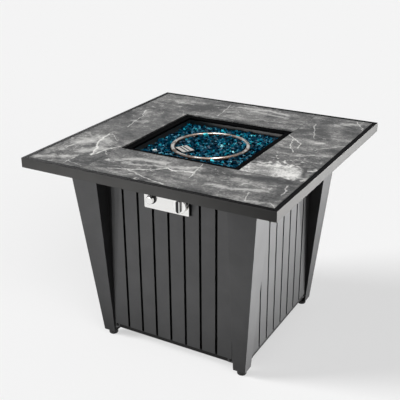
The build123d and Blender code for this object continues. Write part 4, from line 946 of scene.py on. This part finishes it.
# A near-black sheet under the chips: painted shade in the gaps
def add_bed_floor(bed):
    points, faces, tints = bed
    first = len(points)
    for row in range(BED_STEPS + 1):
        for column in range(BED_STEPS + 1):
            x = (2.0 * column / BED_STEPS - 1.0) * GLASS_HALF
            y = (2.0 * row / BED_STEPS - 1.0) * GLASS_HALF
            ripple = noise.noise(Vector((x * BED_RIPPLE_SCALE, y * BED_RIPPLE_SCALE, BED_RIPPLE_SLICE)))
            points.append(Vector((x, y, GLASS_FLOOR + BED_RIPPLE * ripple)))
    for row in range(BED_STEPS):
        for column in range(BED_STEPS):
            corner = first + row * (BED_STEPS + 1) + column
            faces.append([corner, corner + 1, corner + BED_STEPS + 2, corner + BED_STEPS + 1])
            tints.append(GAP_SHADE_TINT)


def fill_bed():
    rng = random.Random(CHIP_SEED)
    shapes = chip_shapes(rng)
    lump = chip_shape(rng, LUMP_CORNERS, LUMP_STRETCH)
    bed = ([], [], [])
    for x, y, z, size in chip_places(rng):
        shape = shapes[rng.randrange(CHIP_SHAPES)]
        turn = chip_turn(rng)
        add_chip(bed, shape, turn, size, Vector((x, y, z)), chip_tint(rng))
    for x, y, size, tint in ODD_CHIPS:
        place = Vector((x, y, glass_height(x, y) + ODD_LIFT))
        add_chip(bed, lump, Matrix.Identity(3), size, place, tint)
    add_bed_floor(bed)
    return bed


def fire_glass_bed():
    points, faces, tints = fill_bed()
    mesh = bpy.data.meshes.new(GLASS_NAME)
    mesh.from_pydata(points, [], faces)
    attribute = mesh.attributes.new("chip_tint", "FLOAT", "FACE")
    attribute.data.foreach_set("value", tints)
    mesh.materials.append(FINISHES["fire_glass"])
    bed = bpy.data.objects.new(GLASS_NAME, mesh)
    scene.collection.objects.link(bed)
    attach(bed, "base")
    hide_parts("fire_glass")


# Camera, floor and light
def photo_camera():
    azimuth = math.radians(CAMERA_AZIMUTH)
    elevation = math.radians(CAMERA_ELEVATION)
    roll = math.radians(CAMERA_ROLL)
    level = math.cos(elevation)
    back = Vector((math.sin(azimuth) * level, -math.cos(azimuth) * level, math.sin(elevation)))
    right = (-back).cross(Vector((0.0, 0.0, 1.0))).normalized()
    up = right.cross(-back)
    tilted_right = right * math.cos(roll) + up * math.sin(roll)
    tilted_up = up * math.cos(roll) - right * math.sin(roll)
    matrix = Matrix((tilted_right, tilted_up, back)).transposed().to_4x4()
    matrix.translation = Vector(CAMERA_TARGET) + back * CAMERA_DISTANCE
    lens = bpy.data.cameras.new("photo_camera")
    lens.sensor_fit = "HORIZONTAL"
    lens.sensor_width = SENSOR_MM
    lens.lens = LENS_MM
    camera = bpy.data.objects.new("photo_camera", lens)
    scene.collection.objects.link(camera)
    camera.matrix_world = matrix
    scene.camera = camera


def seen_directly(tree):
    path = tree.nodes.new("ShaderNodeLightPath").outputs
    mirrored = sum_up(tree, "MAXIMUM", path["Is Glossy Ray"], path["Is Transmission Ray"])
    return sum_up(tree, "MAXIMUM", path["Is Camera Ray"], mirrored)


def mix_shaders(tree, amount, first, second):
    return put(tree, "ShaderNodeMixShader", {0: amount, 1: first.outputs[0], 2: second.outputs[0]})


def studio_world():
    world = bpy.data.worlds.new("studio")
    scene.world = world
    world.use_nodes = True
    tree = world.node_tree
    tree.nodes.clear()
    way = tree.nodes.new("ShaderNodeTexCoord").outputs["Generated"]
    height = put(tree, "ShaderNodeSeparateXYZ", {0: way}).outputs["Z"]
    wall = blend_colours(tree, ease(tree, height, *CEILING_RISE), BACKDROP, CEILING)
    shown = put(tree, "ShaderNodeBackground", {"Color": wall})
    fill = put(tree, "ShaderNodeBackground", {"Color": (*AMBIENT, 1.0)})
    mixed = mix_shaders(tree, seen_directly(tree), fill, shown)
    put(tree, "ShaderNodeOutputWorld", {"Surface": mixed.outputs[0]})


def floor_finish():
    # Seen directly, the floor is as bright as the backdrop, less its shadows. It throws little light back.
    finish = bpy.data.materials.new("pale_floor")
    finish.use_nodes = True
    tree = finish.node_tree
    tree.nodes.clear()
    matte = put(tree, "ShaderNodeBsdfDiffuse", {"Color": (*FLOOR_PALE, 1.0)})
    glow = put(tree, "ShaderNodeEmission", {"Color": (*BACKDROP, 1.0), "Strength": 1.0})
    shown = mix_shaders(tree, FLOOR_GLOW, matte, glow)
    dull = put(tree, "ShaderNodeBsdfDiffuse", {"Color": (*FLOOR_BOUNCE, 1.0)})
    mixed = mix_shaders(tree, seen_directly(tree), dull, shown)
    put(tree, "ShaderNodeOutputMaterial", {"Surface": mixed.outputs[0]})
    return finish


def pale_floor():
    half = FLOOR_HALF
    corners = [(-half, -half, 0), (half, -half, 0), (half, half, 0), (-half, half, 0)]
    mesh = bpy.data.meshes.new("pale_floor")
    mesh.from_pydata(corners, [], [(0, 1, 2, 3)])
    floor = bpy.data.objects.new("pale_floor", mesh)
    scene.collection.objects.link(floor)
    mesh.materials.append(floor_finish())
    return floor


def hang_lamp(lamp, towards):
    holder = bpy.data.objects.new(lamp.name, lamp)
    scene.collection.objects.link(holder)
    holder.rotation_euler = towards.to_track_quat("Z", "Y").to_euler()
    return holder


def far_lamp(name):
    bearing, height, power, spread = FAR_LAMPS[name]
    lamp = bpy.data.lights.new(name, "SUN")
    lamp.energy = power
    lamp.angle = math.radians(spread)
    level = math.cos(math.radians(height))
    turn = math.radians(bearing)
    towards = Vector((math.cos(turn) * level, math.sin(turn) * level, math.sin(math.radians(height))))
    return hang_lamp(lamp, towards)


def spot_lamp(name, place, aim, strength, reach, size):
    # The beam fades softly to nothing at the given reach from the aim point.
    lamp = bpy.data.lights.new(name, "SPOT")
    way = Vector(place) - Vector(aim)
    lamp.energy = strength * 4.0 * math.pi * way.length_squared
    lamp.spot_size = 2.0 * math.atan(reach / way.length)
    lamp.spot_blend = 1.0
    lamp.shadow_soft_size = size
    holder = hang_lamp(lamp, way)
    holder.location = place
    return holder


def lamp_row(name, aim, bearings, far, height, strength, reach, size):
    for bearing in bearings:
        turn = math.radians(bearing)
        place = (aim[0] + far * math.cos(turn), aim[1] + far * math.sin(turn), height)
        yield spot_lamp(f"{name}_{bearing:.0f}", place, aim, strength, reach, size)


def link_lamp(lamp, pieces, state):
    group = bpy.data.collections.new(lamp.name + "_pieces")
    for piece in pieces:
        group.objects.link(piece)
    for member in group.collection_objects:
        member.light_linking.link_state = state
    lamp.light_linking.receiver_collection = group


def studio_light(floor):
    # The side lamps stand behind the right corner, below the table top, so none of them reaches it.
    side = lamp_row("side_spot", **SIDE_SPOTS)
    front = lamp_row("front_spot", **FRONT_SPOTS)
    overhead = far_lamp("overhead_softbox")
    for lamp in (*side, *front, overhead):
        link_lamp(lamp, [floor], "EXCLUDE")
    # The fill behind the table keeps off the top, where it would only glare.
    top = [nodes[name] for name in TOP_PIECES]
    link_lamp(far_lamp("back_fill"), [floor, *top, scene.objects[GLASS_NAME]], "EXCLUDE")
    # The table's long shadow and the faint one on its other side come from lamps that light only the floor.
    for name in FLOOR_LAMPS:
        link_lamp(far_lamp(name), [floor], "INCLUDE")


dress_nodes()
soften_nodes()
fire_glass_bed()
photo_camera()
studio_world()
studio_light(pale_floor())
